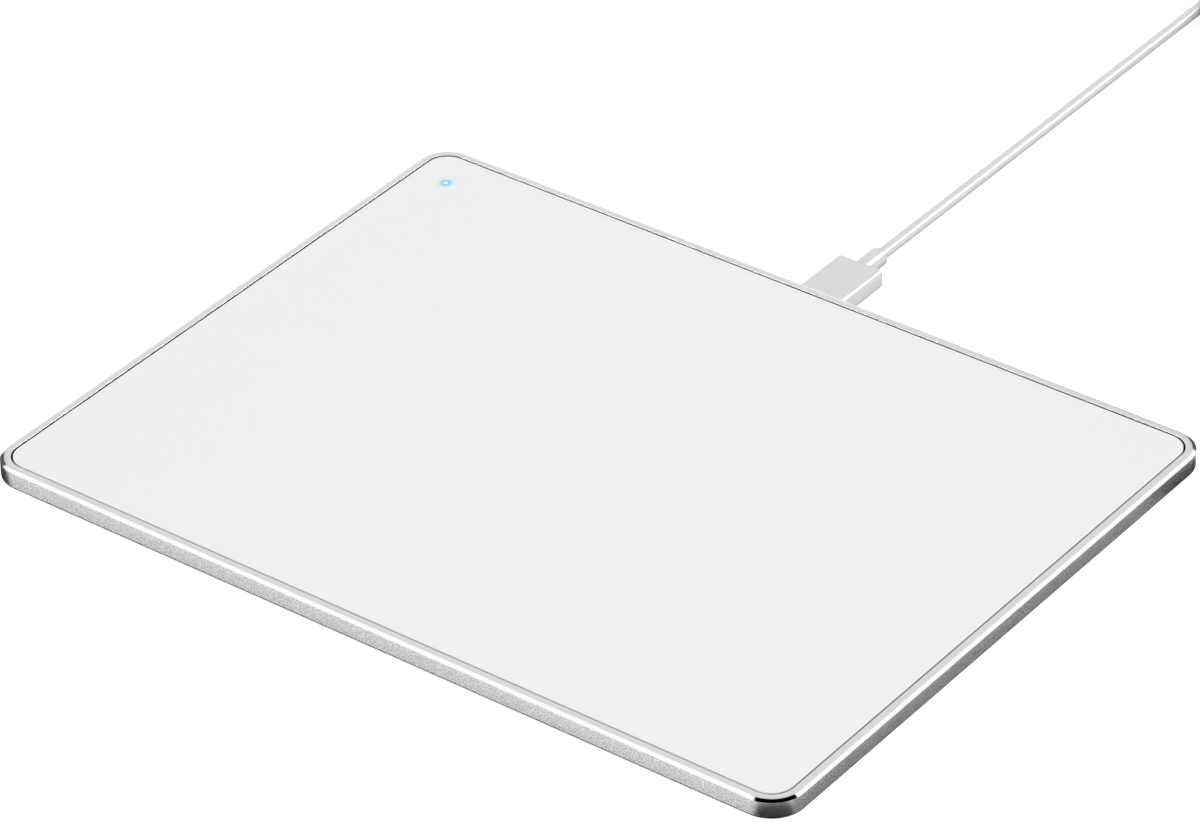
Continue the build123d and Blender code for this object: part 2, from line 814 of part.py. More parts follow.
# Socket, its tongue and contacts
socket_mouth = SlotOverall(socket_width, socket_height)
socket_bore = SlotOverall(socket_width - 2 * socket_skin, socket_height - 2 * socket_skin)
tongue_rear_y = socket_rear_y + socket_back
save(
    "socket_shell",
    rearward(socket_mouth, 0, port_z, socket_rear_y, socket_length)
    - rearward(socket_bore, 0, port_z, socket_rear_y - overrun, socket_length + 2 * overrun),
)
socket_plug = SlotOverall(
    socket_width - 2 * (socket_skin + snug), socket_height - 2 * (socket_skin + snug)
)
save(
    "socket_tongue",
    rearward(socket_plug, 0, port_z, socket_rear_y, socket_back)
    + rearward(Rectangle(tongue_width, tongue_thick), 0, port_z, tongue_rear_y, tongue_length),
)


def socket_contacts():
    """Flat contacts on both faces of the tongue."""
    strips = []
    length = tongue_length * contact_length_share
    for face in (-1, 1):
        z = port_z + face * (tongue_thick + contact_thick) / 2
        for number in range(contact_count):
            x = (number - (contact_count - 1) / 2) * contact_pitch
            strips.append(
                rearward(Rectangle(contact_width, contact_thick), x, z, tongue_rear_y + slip, length)
            )
    return strips


save("socket_contacts", *socket_contacts())


# Controls under the main board
def power_slider():
    """The ribbed knob in the tray's slot, its holding flange and the peg that works the switch."""
    low = foot_height + slide_sink
    knob = block(slide_knob_width, slide_knob_depth, low, floor_top + slip, slide_x, control_y)
    grip_pitch = 2 * slide_grip_width * grip_pitch_share
    grip_high = low + slide_grip_depth
    for number in range(slide_grip_count):
        x = slide_x + (number - (slide_grip_count - 1) / 2) * grip_pitch
        knob -= block(slide_grip_width, slide_knob_depth + overrun, low - overrun, grip_high, x, control_y)
    flange_low = floor_top + slip
    flange_high = flange_low + slide_flange_thick
    knob += block(
        slide_knob_width + 2 * slide_flange, slide_knob_depth + 2 * slide_flange, flange_low, flange_high,
        slide_x, control_y,
    )
    return knob + block(
        slide_peg_width, slide_peg_width, flange_high, flange_high + slide_peg_rise, slide_x, control_y
    )


power_body_width = 6.7
power_body_depth = 2.8
power_body_low = floor_top + slip + slide_flange_thick + slip
power_slot = slide_peg_width + slide_travel + 2 * loose


def power_switch_body():
    """The slide switch under the main board, with the slot that the peg runs in."""
    body = block(power_body_width, power_body_depth, power_body_low, board_low, slot_x, control_y)
    return body - block(
        power_slot, slide_peg_width + 2 * loose, power_body_low - overrun,
        power_body_low + slide_peg_rise + slip, slot_x, control_y,
    )


pair_body_width = 4.2
pair_body_low = floor_top + slip + pair_flange_thick + pair_travel + slip
pair_stem_radius = 0.8
pair_stem_rise = 0.35


def pair_button():
    """The round pairing button, its holding flange and its stem."""
    low = foot_height + slide_sink
    flange_low = floor_top + slip
    flange_high = flange_low + pair_flange_thick
    button = disc(pair_radius, low, flange_low, pair_x, control_y)
    button -= Pos(pair_x, control_y, low) * Cone(
        pair_radius - pair_dish, pair_stem_radius, pair_dish, align=(Align.CENTER, Align.CENTER, Align.MIN)
    )
    button += disc(pair_radius + pair_flange, flange_low, flange_high, pair_x, control_y)
    return button + disc(pair_stem_radius, flange_high, flange_high + pair_stem_rise, pair_x, control_y)


def pair_switch():
    """The small push switch under the main board that the stem works."""
    body = block(pair_body_width, pair_body_width, pair_body_low, board_low, pair_x, control_y)
    hole_high = floor_top + slip + pair_flange_thick + pair_stem_rise + pair_travel + slip
    return body - disc(pair_stem_radius + slip, pair_body_low - overrun, hole_high, pair_x, control_y)


save("power_slider", power_slider())
save("power_switch_body", power_switch_body())
save("pair_button", pair_button())
save("pair_switch", pair_switch())

# Battery: a pouch on tape, its guard board and two leads to the main board
lead_radius = 0.45
lead_pitch = 1.4
lead_run = 9.0
lead_bend = 2.0
cell_low = floor_top + tape_thick
cell_high = cell_low + cell_thick
cell_rear_y = cell_y + cell_depth / 2
guard_width = cell_width / 2


def battery_cell():
    """The soft pouch, with its sealed end fold at the rear."""
    body_depth = cell_depth - cell_board_depth
    pouch = block(
        cell_width, body_depth, cell_low, cell_high, cell_x, cell_y - cell_board_depth / 2, radius=cell_round
    )
    return fillet(pouch.edges().filter_by(Plane.XY), cell_round)


def battery_leads():
    """Two wires from the guard board to the main board's connector."""
    wires = []
    lead_z = board_top + battery_socket_height / 2
    start_z = cell_low + cell_board_thick + lead_radius + snug
    end_y = board_front_y + slip
    for side in (-1, 1):
        start_y = cell_rear_y - cell_board_depth / 2 + side * lead_pitch / 2
        start = (cell_x + guard_width / 2 - lead_pitch, start_y, start_z)
        x_end = battery_socket_x - side * lead_pitch / 2
        corner = (x_end, start[1], start_z)
        rise = (x_end, end_y - lead_run, start_z)
        up = (x_end, end_y - lead_run / 2, lead_z)
        path = FilletPolyline(start, corner, rise, up, (x_end, end_y, lead_z), radius=lead_bend)
        profile = Plane(origin=start, z_dir=(1, 0, 0)) * Circle(lead_radius)
        wires.append(sweep(profile, path=path))
    return wires


save("battery_cell", battery_cell())
save(
    "battery_tape",
    block(cell_width - 2 * tape_inset, cell_depth - 2 * tape_inset, floor_top, cell_low, cell_x, cell_y),
)
save(
    "battery_board",
    block(guard_width, cell_board_depth - slip, cell_low, cell_low + cell_board_thick, cell_x,
          cell_rear_y - cell_board_depth / 2 + slip / 2),
)
save("battery_leads", *battery_leads())

# The flat cable's ends on the switch's board and on the main board
flat_start_y = switch_y + switch_board_depth / 2
flat_end_y = board_front_y


def switch_ribbon():
    """The flat cable, soldered to both boards' upper faces at its ends."""
    floor = floor_top + snug
    points = [
        (flat_start_y - flat_solder, switch_low + flat_thick), (flat_start_y + snug, switch_low + flat_thick),
        (flat_start_y + flat_ramp, floor + flat_thick), (flat_end_y - flat_ramp, floor + flat_thick),
        (flat_end_y - snug, board_top + flat_thick), (flat_end_y + flat_solder, board_top + flat_thick),
    ]
    under = [(y, z - flat_thick) for y, z in reversed(points)]
    return side_view(points + under, flat_x, flat_width)


save("switch_ribbon", switch_ribbon())

# Plug on the lead: metal shell, insert, moulded grip and strain relief
plug_width = 10.6
plug_thick = 4.25
plug_length = 16.4
plug_round = 1.15
plug_end_round = 0.3
plug_gap = 0.3
plug_shell_width = 8.2
plug_shell_height = 2.4
plug_shell_skin = 0.3
plug_shell_reach = 6.6
plug_shell_root = 3.0
plug_slot_height = 1.0
plug_slot_width = 6.9
boot_length = 6.7
boot_radius = 2.0
boot_round = 0.8
cord_radius = 1.225
plug_front_y = mouth_y + plug_gap
plug_rear_y = plug_front_y + plug_length
shell_tip_y = plug_front_y - plug_shell_reach
boot_rear_y = plug_rear_y + boot_length
plug_shell_outline = SlotOverall(plug_shell_width, plug_shell_height)
plug_shell_bore = SlotOverall(plug_shell_width - 2 * plug_shell_skin, plug_shell_height - 2 * plug_shell_skin)


def plug_overmold():
    """The moulded grip, hollow where the metal shell is rooted in it."""
    outline = RectangleRounded(plug_width, plug_thick, plug_round)
    grip = rearward(outline, 0, port_z, plug_front_y, plug_length)
    grip = fillet(grip.edges().group_by(Axis.Y)[-1], plug_end_round)
    grip = fillet(grip.edges().group_by(Axis.Y)[0], plug_end_round)
    return grip - rearward(plug_shell_outline, 0, port_z, plug_front_y - overrun, plug_shell_root + overrun)


def round_boot(radius, length, end_round, origin, direction):
    """A round sleeve with a soft rear edge."""
    sleeve = Plane(origin=origin, z_dir=direction) * extrude(Circle(radius), length)
    ends = sleeve.edges().filter_by(GeomType.CIRCLE).sort_by_distance(origin)
    return fillet(ends[-1], end_round)


save("plug_overmold", plug_overmold())
plug_shell_length = plug_shell_reach + plug_shell_root
save(
    "plug_shell",
    rearward(plug_shell_outline, 0, port_z, shell_tip_y, plug_shell_length)
    - rearward(plug_shell_bore, 0, port_z, shell_tip_y - overrun, plug_shell_length + 2 * overrun),
)
plug_slot = Rectangle(plug_slot_width, plug_slot_height)
plug_slot_length = tongue_length + socket_skin + overrun
insert = rearward(plug_shell_bore, 0, port_z, shell_tip_y + socket_skin, plug_shell_length - socket_skin)
insert -= rearward(plug_slot, 0, port_z, shell_tip_y - overrun, plug_slot_length)
save("plug_insert", insert)
save("plug_boot", round_boot(boot_radius, boot_length, boot_round, (0, plug_rear_y, port_z), (0, 1, 0)))

# Lead: a nearly straight run behind the pad, a flat coil of two layers, and a short tail to its far plug
coil_pitch = 2.9
coil_inner = 7.5
coil_half_turns = 9
coil_y = 225.0
tie_thick = 0.5
tie_width = 6.0
tie_gap = 0.5
tie_round = 2.0
coil_z = tie_thick + tie_gap / 2 + cord_radius
coil_outer = coil_inner + coil_half_turns * coil_pitch / 2
cord_diameter = 2 * cord_radius
run_dip_x = -0.05
run_dip_y = 104.0
run_dip_z = 3.2
run_end_x = -1.35
run_level_y = 212.0
run_points = [
    (0, boot_rear_y, port_z),
    (run_dip_x, run_dip_y, run_dip_z),
    (run_end_x, run_level_y, coil_z),
    (run_end_x, coil_y - cord_diameter, coil_z),
]
corner_share_of_run = 0.45
coil_x = run_end_x + coil_outer


def corner_radii(points):
    """The largest arc that each corner of a route has room for."""
    radii = []
    for before, here, after in zip(points, points[1:], points[2:]):
        run_in = Vector(*here) - Vector(*before)
        run_out = Vector(*after) - Vector(*here)
        half_turn = math.radians(run_in.get_angle(run_out)) / 2
        radii.append(corner_share_of_run * min(run_in.length, run_out.length) / math.tan(half_turn))
    return radii


def tube(path, start, direction, radius):
    """A round cord along a path."""
    return sweep(Plane(origin=start, z_dir=direction) * Circle(radius), path=path)


def routed(name, points):
    """A stretch of the cord along straight runs joined by the widest arcs that fit."""
    radii = corner_radii(points)
    path = FilletPolyline(*points, radius=radii)
    piece = tube(path, points[0], Vector(*points[1]) - Vector(*points[0]), cord_radius)
    section = math.pi * cord_radius * cord_radius
    print(name, "radii", [round(radius, 1) for radius in radii], "length", round(path.length, 2))
    print(name, "volume over section times length", round(piece.volume / (section * path.length), 4))
    save(name, piece)
    return path.length


def coil_path():
    """Half turns that spiral in on the lower layer, climb, and spiral out on the upper one."""
    start = (coil_x - coil_outer, coil_y, coil_z)
    pieces = [Line((start[0], coil_y - cord_diameter, coil_z), start)]
    reach = coil_outer
    side = -1
    height = coil_z
    last = 2 * coil_half_turns
    for number in range(last + 1):
        climbing = number == coil_half_turns - 1
        growing = number >= coil_half_turns
        step = coil_pitch if number == coil_half_turns else coil_pitch / 2
        next_reach = reach + step if growing else reach - step
        next_height = height + coil_pitch if climbing else height
        begin = (coil_x + side * reach, coil_y, height)
        finish = (coil_x - side * next_reach, coil_y, next_height)
        centre_x = (begin[0] + finish[0]) / 2
        rise = (next_height - height) / 2
        swing = math.hypot((reach + next_reach) / 2, rise)
        far = -side
        middle = (centre_x, coil_y + far * swing, height + rise)
        if number == last:
            bend = swing * math.sqrt(1 / 2)
            quarter = (centre_x + side * bend, coil_y + far * bend, height)
            pieces.append(ThreePointArc(begin, quarter, middle))
            tail = (middle[0] + cord_diameter, middle[1], middle[2])
            pieces.append(Line(middle, tail))
            return Wire([edge for piece in pieces for edge in piece.edges()]), tail
        pieces.append(ThreePointArc(begin, middle, finish))
        side = -side
        reach = next_reach
        height = next_height


def least_gap(path, steps, skip):
    """The least gap between stretches of the coil that aren't neighbours along it."""
    points = [path.position_at(number / steps) for number in range(steps + 1)]
    best = math.inf
    for first in range(0, steps + 1):
        for second in range(first + skip, steps + 1):
            distance = (points[first] - points[second]).length
            best = min(best, distance)
    return best - cord_diameter


coil_wire, coil_end = coil_path()
coil_start = (coil_x - coil_outer, coil_y - cord_diameter, coil_z)
coil = tube(coil_wire, coil_start, (0, 1, 0), cord_radius)
coil_steps = 900
coil_skip = 20
coil_gap = least_gap(coil_wire, coil_steps, coil_skip)
print("coil length", round(coil_wire.length, 2), "least gap to itself", round(coil_gap, 3))
save("cable_coil", coil)
run_length = routed("cable_run", run_points)

# Far plug: strain relief, moulded grip and the open metal shell with its tongue
host_width = 15.4
host_thick = 7.6
host_length = 18.0
host_round = 1.8
host_end_round = 0.5
host_lift = 0.05
host_shell_width = 12.0
host_shell_height = 4.5
host_shell_length = 12.0
host_shell_root = 4.0
host_shell_skin = 0.3
host_shell_round = 0.5
host_window = 2.2
host_window_share = 0.25
host_tongue_thick = 1.9
host_tongue_length = 9.0
host_contact_width = 1.0
host_contact_pitch = 2.3
host_contact_count = 4
host_boot_length = 8.0
host_boot_radius = 2.4
host_boot_flare = 0.8
tail_length = 13.0
tail_drop_shares = [0.3, 0.7]
host_z = host_thick / 2 + host_lift
tail_points = [
    coil_end,
    (coil_end[0] + tail_length * tail_drop_shares[0], coil_end[1], coil_end[2]),
    (coil_end[0] + tail_length * tail_drop_shares[1], coil_end[1], host_z),
    (coil_end[0] + tail_length, coil_end[1], host_z),
]
tail_run = routed("cable_tail", tail_points)
print("cord length", round(run_length + coil_wire.length + tail_run, 1))
host_x = tail_points[-1][0] + host_boot_length
host_y = coil_end[1]
shell_x = host_x + host_length
host_shell_outline = RectangleRounded(host_shell_width, host_shell_height, host_shell_round)
host_shell_bore = RectangleRounded(
    host_shell_width - 2 * host_shell_skin, host_shell_height - 2 * host_shell_skin,
    host_shell_round - host_shell_skin,
)


def across(outline, x, length, z=host_z):
    """An outline drawn across the far plug and carried along it."""
    plane = Plane(origin=(x, host_y, z), x_dir=(0, 1, 0), z_dir=(1, 0, 0))
    return extrude(plane * outline, length)


def host_overmold():
    """The far plug's moulded grip."""
    grip = across(RectangleRounded(host_width, host_thick, host_round), host_x, host_length)
    grip = fillet(grip.edges().group_by(Axis.X)[-1], host_end_round)
    grip = fillet(grip.edges().group_by(Axis.X)[0], host_end_round)
    return grip - across(host_shell_outline, shell_x - host_shell_root, host_shell_root + overrun)


def host_shell():
    """The folded metal shell, with two latch windows above and below."""
    full = host_shell_length + host_shell_root
    shell = across(host_shell_outline, shell_x - host_shell_root, full)
    shell -= across(host_shell_bore, shell_x - host_shell_root - overrun, full + 2 * overrun)
    for side in (-1, 1):
        shell -= block(
            host_window, host_window, 0, host_thick,
            shell_x + host_shell_length / 2, host_y + side * host_shell_width * host_window_share,
        )
    return shell


def host_tongue():
    """The plastic tongue in the upper half of the shell, on its base block."""
    base = across(
        RectangleRounded(
            host_shell_width - 2 * (host_shell_skin + snug), host_shell_height - 2 * (host_shell_skin + snug),
            host_shell_round - host_shell_skin,
        ),
        shell_x - host_shell_root, host_shell_root,
    )
    tongue_z = host_z + host_shell_height / 2 - host_shell_skin - snug - host_tongue_thick / 2
    outline = Rectangle(host_shell_width - 2 * (host_shell_skin + loose), host_tongue_thick)
    return base + across(outline, shell_x, host_tongue_length, tongue_z)


def host_contacts():
    """Four flat contacts under the tongue."""
    z = host_z + host_shell_height / 2 - host_shell_skin - snug - host_tongue_thick - contact_thick / 2
    strips = []
    for number in range(host_contact_count):
        y = host_y + (number - (host_contact_count - 1) / 2) * host_contact_pitch
        strips.append(
            block(
                host_tongue_length * contact_length_share, host_contact_width, z - contact_thick / 2,
                z + contact_thick / 2, shell_x + host_tongue_length / 2, y,
            )
        )
    return strips


def host_boot():
    """The tapered strain relief behind the far plug's grip."""
    plane = Plane(origin=(host_x - host_boot_length, host_y, host_z), z_dir=(1, 0, 0))
    widening = math.degrees(math.atan(host_boot_flare / host_boot_length))
    return plane * extrude(Circle(host_boot_radius), host_boot_length, taper=-widening)


save("host_overmold", host_overmold())
save("host_shell", host_shell())
save("host_tongue", host_tongue())
save("host_contacts", *host_contacts())
save("host_boot", host_boot())


def coil_tie():
    """The strap round all the turns on the coil's right side."""
    left = coil_x + math.sqrt(coil_inner ** 2 - (tie_width / 2) ** 2) - cord_radius - tie_gap
    right = coil_x + coil_outer + cord_radius + tie_gap
    high = coil_z + coil_pitch + cord_radius + tie_gap
    low = tie_thick + snug
    width = right - left
    height = high - low
    middle = ((left + right) / 2, coil_y - tie_width / 2, (low + high) / 2)
    plane = Plane(origin=middle, x_dir=(1, 0, 0), z_dir=(0, 1, 0))
    outer = RectangleRounded(width + 2 * tie_thick, height + 2 * tie_thick, tie_round + tie_thick)
    inner = RectangleRounded(width, height, tie_round)
    return extrude(plane * (outer - inner), tie_width)


save("coil_tie", coil_tie())
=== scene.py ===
"""The looks of a glass touch pad in a blasted metal frame, of all that it holds, and of its charging lead.

Lengths are in millimetres up to the last step of each piece, and metres in the finished meshes.
"""

import math

import bmesh
import bpy
from mathutils import Matrix, Vector


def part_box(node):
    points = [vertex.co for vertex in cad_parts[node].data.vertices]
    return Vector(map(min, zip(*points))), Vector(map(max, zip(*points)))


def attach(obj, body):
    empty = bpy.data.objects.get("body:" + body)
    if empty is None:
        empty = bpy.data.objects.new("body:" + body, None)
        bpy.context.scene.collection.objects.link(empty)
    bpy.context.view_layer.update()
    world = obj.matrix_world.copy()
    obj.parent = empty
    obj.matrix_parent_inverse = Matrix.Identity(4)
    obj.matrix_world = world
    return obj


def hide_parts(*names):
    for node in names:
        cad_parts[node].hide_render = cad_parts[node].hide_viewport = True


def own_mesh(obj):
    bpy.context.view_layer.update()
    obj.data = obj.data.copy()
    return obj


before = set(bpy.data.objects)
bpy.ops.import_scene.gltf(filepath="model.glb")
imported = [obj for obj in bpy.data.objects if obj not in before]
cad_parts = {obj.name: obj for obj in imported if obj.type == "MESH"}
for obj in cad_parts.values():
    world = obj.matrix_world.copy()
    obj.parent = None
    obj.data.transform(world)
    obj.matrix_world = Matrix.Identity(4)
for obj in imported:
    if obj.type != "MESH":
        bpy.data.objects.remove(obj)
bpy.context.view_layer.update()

# Camera
# It stands in front of the pad, to its right, and looks down at it through a long lens, slightly
# rolled, as the photograph does.
MM = 0.001
scene = bpy.context.scene
camera_turn = math.radians(37.278)
camera_rise = math.radians(34.157)
camera_roll = math.radians(-0.896)
camera_reach = 1155.4 * MM
camera_target = Vector((-7.37, 10.61, 8.4)) * MM
camera_data = bpy.data.cameras.new("camera")
camera_data.sensor_width = 36.0
camera_data.lens = 186.34
camera_data.clip_start = 0.05
camera_data.clip_end = 60.0
camera = bpy.data.objects.new("camera", camera_data)
scene.collection.objects.link(camera)
scene.camera = camera
camera_back = Vector(
    (
        math.sin(camera_turn) * math.cos(camera_rise),
        -math.cos(camera_turn) * math.cos(camera_rise),
        math.sin(camera_rise),
    )
)
camera_right = Vector((math.cos(camera_turn), math.sin(camera_turn), 0.0))
camera_up = camera_back.cross(camera_right)
camera_basis = Matrix((camera_right, camera_up, camera_back)).transposed().to_4x4()
camera.matrix_world = (
    Matrix.Translation(camera_target + camera_back * camera_reach)
    @ camera_basis
    @ Matrix.Rotation(camera_roll, 4, "Z")
)
scene.view_settings.view_transform = "Standard"

# Cord of the charging lead
# A thin, fairly stiff moulded cord. It leaves the plug's sleeve, lies nearly straight behind the pad, is
# wound into a flat coil of two layers held by a strap, and ends in the far plug.
cord_radius = 1.225
cord_diameter = 2 * cord_radius
port_z = 3.30
sleeve_rear_y = 91.75
coil_pitch = 2.9
coil_inner = 7.5
coil_half_turns = 9
coil_y = 225.0
tie_thick = 0.5
tie_gap = 0.5
coil_z = tie_thick + tie_gap / 2 + cord_radius
coil_outer = coil_inner + coil_half_turns * coil_pitch / 2
run_end_x = -1.35
run_points = [
    (0, sleeve_rear_y, port_z),
    (-0.05, 104.0, 3.2),
    (run_end_x, 212.0, coil_z),
    (run_end_x, coil_y - cord_diameter, coil_z),
]
coil_x = run_end_x + coil_outer
points_in_half_turn = 12


def coil_points():
    """The coil's points: half turns that spiral in below, climb, and spiral out above."""
    points = []
    reach = coil_outer
    side = -1
    height = coil_z
    last = 2 * coil_half_turns
    for number in range(last + 1):
        climbing = number == coil_half_turns - 1
        step = coil_pitch if number == coil_half_turns else coil_pitch / 2
        next_reach = reach + step if number >= coil_half_turns else reach - step
        next_height = height + coil_pitch if climbing else height
        begin_x = coil_x + side * reach
        finish_x = coil_x - side * next_reach
        middle_x = (begin_x + finish_x) / 2
        swing = (reach + next_reach) / 2
        steps = points_in_half_turn // 2 + 1 if number == last else points_in_half_turn
        for point in range(steps):
            angle = math.pi * point / points_in_half_turn
            points.append(
                (
                    middle_x + side * swing * math.cos(angle),
                    coil_y - side * swing * math.sin(angle),
                    height + (next_height - height) * (1 - math.cos(angle)) / 2,
                )
            )
        side = -side
        reach = next_reach
        height = next_height
    return points


wound_points = coil_points()
coil_end = wound_points[-1]
tail_length = 13.0
host_z = 3.85
tail_x = coil_end[0] + cord_diameter
climb_start, climb_end = 0.3, 0.7
tail_points = [
    (tail_x, coil_end[1], coil_end[2]),
    (tail_x + tail_length * climb_start, coil_end[1], coil_end[2]),
    (tail_x + tail_length * climb_end, coil_end[1], host_z),
    (tail_x + tail_length, coil_end[1], host_z),
]
cord_curve = bpy.data.curves.new("lead_cord", "CURVE")
cord_curve.dimensions = "3D"
cord_line = cord_curve.splines.new("NURBS")
cord_points = run_points + wound_points + tail_points
cord_line.points.add(len(cord_points) - 1)
for control, place in zip(cord_line.points, cord_points):
    control.co = (*(Vector(place) * MM), 1.0)
cord_line.order_u = 3
cord_line.use_endpoint_u = True
cord_line.resolution_u = 6
cord_curve.bevel_depth = cord_radius * MM
cord_curve.bevel_resolution = 7
cord_curve.use_fill_caps = True
lead_cord = bpy.data.objects.new("lead_cord", cord_curve)
scene.collection.objects.link(lead_cord)

# Studio
# A plain white table with no edge in view, under an even white sky. Soft light comes from the left in
# front, from the right behind and from the right. Reflections, and nothing else, also show flags in the sky
# above, behind and at the left, and painted shade in the table's colour: a grey patch at the pad's right and
# black patches at three corners and under the lead.


class Signal:
    """A number in a material's nodes, so that the maths on it reads as plain maths."""

    def __init__(self, finish, socket):
        self.finish = finish
        self.socket = socket

    def maths(self, operation, first, second=0.0):
        """One Math node on one number or two."""
        node = self.finish.node("ShaderNodeMath", {"operation": operation}, {0: first, 1: second})
        return Signal(self.finish, node.outputs[0])

    def __add__(self, other):
        return self.maths("ADD", self, other)

    def __sub__(self, other):
        return self.maths("SUBTRACT", self, other)

    def __rsub__(self, other):
        return self.maths("SUBTRACT", other, self)

    def __mul__(self, other):
        return self.maths("MULTIPLY", self, other)

    def __pow__(self, other):
        return self.maths("POWER", self, other)

    def __abs__(self):
        return self.maths("ABSOLUTE", self)

    __radd__ = __add__

    def root(self):
        """Its square root."""
        return self.maths("SQRT", self)

    def fraction(self):
        """What is left of it after its whole number."""
        return self.maths("FRACT", self)

    def sine(self):
        """Its sine."""
        return self.maths("SINE", self)

    def fade(self, start, end):
        """0 below the start and 1 above the end, with a smooth rise between."""
        node = self.finish.node(
            "ShaderNodeMapRange",
            {"interpolation_type": "SMOOTHSTEP"},
            {"Value": self, "From Min": start, "From Max": end},
        )
        return Signal(self.finish, node.outputs["Result"])


class Finish:
    """One procedural material: its nodes, its shader, and what varies over the surface."""

    def __init__(self, name, colour, roughness, metallic=0.0, **constants):
        self.material = bpy.data.materials.new(name)
        self.material.use_nodes = True
        self.tree = self.material.node_tree
        self.shader = self.tree.nodes["Principled BSDF"]
        self.colour = colour
        self.put("Base Color", colour)
        self.put("Roughness", roughness)
        self.put("Metallic", metallic)
        for constant, value in constants.items():
            self.put(constant.replace("_", " ").title().replace("Ior", "IOR"), value)

    def plug(self, socket, value):
        """Link or set one socket."""
        if isinstance(value, Signal):
            value = value.socket
        if isinstance(value, bpy.types.NodeSocket):
            self.tree.links.new(value, socket)
        elif socket.type == "RGBA":
            socket.default_value = (*value[:3], 1.0)
        else:
            socket.default_value = value

    def put(self, name, value):
        """Link or set one socket of the shader."""
        self.plug(self.shader.inputs[name], value)

    def node(self, kind, settings=None, sockets=None):
        """A node with its settings made first, and then its sockets' values or links."""
        made = self.tree.nodes.new(kind)
        for name, value in (settings or {}).items():
            setattr(made, name, value)
        for key, value in (sockets or {}).items():
            self.plug(made.inputs[key], value)
        return made

    def place(self):
        """Where a point is on the object, in metres."""
        return self.node("ShaderNodeTexCoord").outputs["Object"]

    def axes(self):
        """The point's place from left to right and from front to rear, in millimetres."""
        parts = self.node("ShaderNodeSeparateXYZ", None, {0: self.place()})
        return [Signal(self, parts.outputs[axis]) * (1 / MM) for axis in ("X", "Y")]

    def noise(self, size, detail=3.0):
        """Smooth noise from 0 to 1, with features about as large as the size in millimetres."""
        node = self.node(
            "ShaderNodeTexNoise",
            {"noise_dimensions": "3D"},
            {"Vector": self.place(), "Scale": 1 / MM / size, "Detail": detail, "Roughness": 0.6},
        )
        return Signal(self, node.outputs["Fac"])

    def cells(self, size, feature="F1"):
        """Distances in cell noise, with cells of a size in millimetres."""
        node = self.node(
            "ShaderNodeTexVoronoi", {"feature": feature}, {"Vector": self.place(), "Scale": 1 / MM / size}
        )
        return Signal(self, node.outputs["Distance"])

    def blend(self, share, first, second):
        """A colour between two others."""
        node = self.node("ShaderNodeMix", {"data_type": "RGBA"}, {0: share, 6: first, 7: second})
        return node.outputs[2]

    def shade(self, share, spread):
        """The finish's own colour, made darker and lighter by a spread as the share goes from 0 to 1."""
        darker = tuple(channel * (1 - spread) for channel in self.colour)
        lighter = tuple(min(1.0, channel * (1 + spread)) for channel in self.colour)
        return self.blend(share, darker, lighter)

    def emboss(self, height, depth):
        """Bumps of a depth in millimetres from a height of 0 to 1."""
        node = self.node("ShaderNodeBump", None, {"Strength": 1.0, "Distance": depth * MM, "Height": height})
        self.put("Normal", node.outputs["Normal"])


table_half = 3.0
table_mesh = bmesh.new()
bmesh.ops.create_grid(table_mesh, x_segments=1, y_segments=1, size=table_half)
table_data = bpy.data.meshes.new("table_top")
table_mesh.to_mesh(table_data)
table_mesh.free()
table_top = bpy.data.objects.new("table_top", table_data)
scene.collection.objects.link(table_top)
table_white = (0.92, 0.92, 0.92)
# Painted shade for reflections: grey and black patches in the table's colour, seen only by glossy rays,
# darken what the frame's walls, corners and the cord reflect.
reflection_shade_grey = (0.30, 0.30, 0.30)
reflection_shade_black = (0.03, 0.03, 0.03)
side_reflection_shade_left, side_reflection_shade_right = (90.5, 92.0), (106.0, 112.0)
side_reflection_shade_front, side_reflection_shade_rear = (-66.0, -60.0), (73.0, 77.0)
lead_reflection_shade_side, lead_reflection_shade_front = (6.0, 8.0), (72.0, 76.0)
corner_reflection_shades = ((96.0, -76.0, 14.0), (96.5, 68.0, 10.0), (-99.0, -61.5, 14.0))
reflection_shade_edge = 2.0
table_finish = Finish("table_white", table_white, roughness=0.9, specular_ior_level=0.0)
table_path = table_finish.node("ShaderNodeLightPath")
table_x, table_y = table_finish.axes()
side_reflection_shade = table_x.fade(*side_reflection_shade_left) * (1 - table_x.fade(*side_reflection_shade_right))
side_reflection_shade = side_reflection_shade * table_y.fade(*side_reflection_shade_front) * (1 - table_y.fade(*side_reflection_shade_rear))
table_reflection_shades = table_finish.blend(side_reflection_shade, table_white, reflection_shade_grey)
lead_reflection_shade = (1 - abs(table_x).fade(*lead_reflection_shade_side)) * table_y.fade(*lead_reflection_shade_front)
table_reflection_shades = table_finish.blend(lead_reflection_shade, table_reflection_shades, reflection_shade_black)
for reflection_shade_x, reflection_shade_y, reflection_shade_radius in corner_reflection_shades:
    reflection_shade_reach = ((table_x - reflection_shade_x) ** 2.0 + (table_y - reflection_shade_y) ** 2.0).root()
    corner_reflection_shade = 1 - reflection_shade_reach.fade(reflection_shade_radius - reflection_shade_edge, reflection_shade_radius + reflection_shade_edge)
    table_reflection_shades = table_finish.blend(corner_reflection_shade, table_reflection_shades, reflection_shade_black)
table_shine = Signal(table_finish, table_path.outputs["Is Glossy Ray"])
table_plain = table_finish.shade(table_finish.noise(size=40.0), spread=0.004)
# Glossy rays see the table with its painted shade patches; all other rays see it plain white.
table_finish.put("Base Color", table_finish.blend(table_shine, table_plain, table_reflection_shades))
table_lift = 0.62
table_seen = Signal(table_finish, table_path.outputs["Is Camera Ray"])
table_finish.put("Emission Color", table_finish.blend(table_seen, (0.0, 0.0, 0.0), (table_lift,) * 3))
table_finish.put("Emission Strength", 1.0)
table_data.materials.append(table_finish.material)

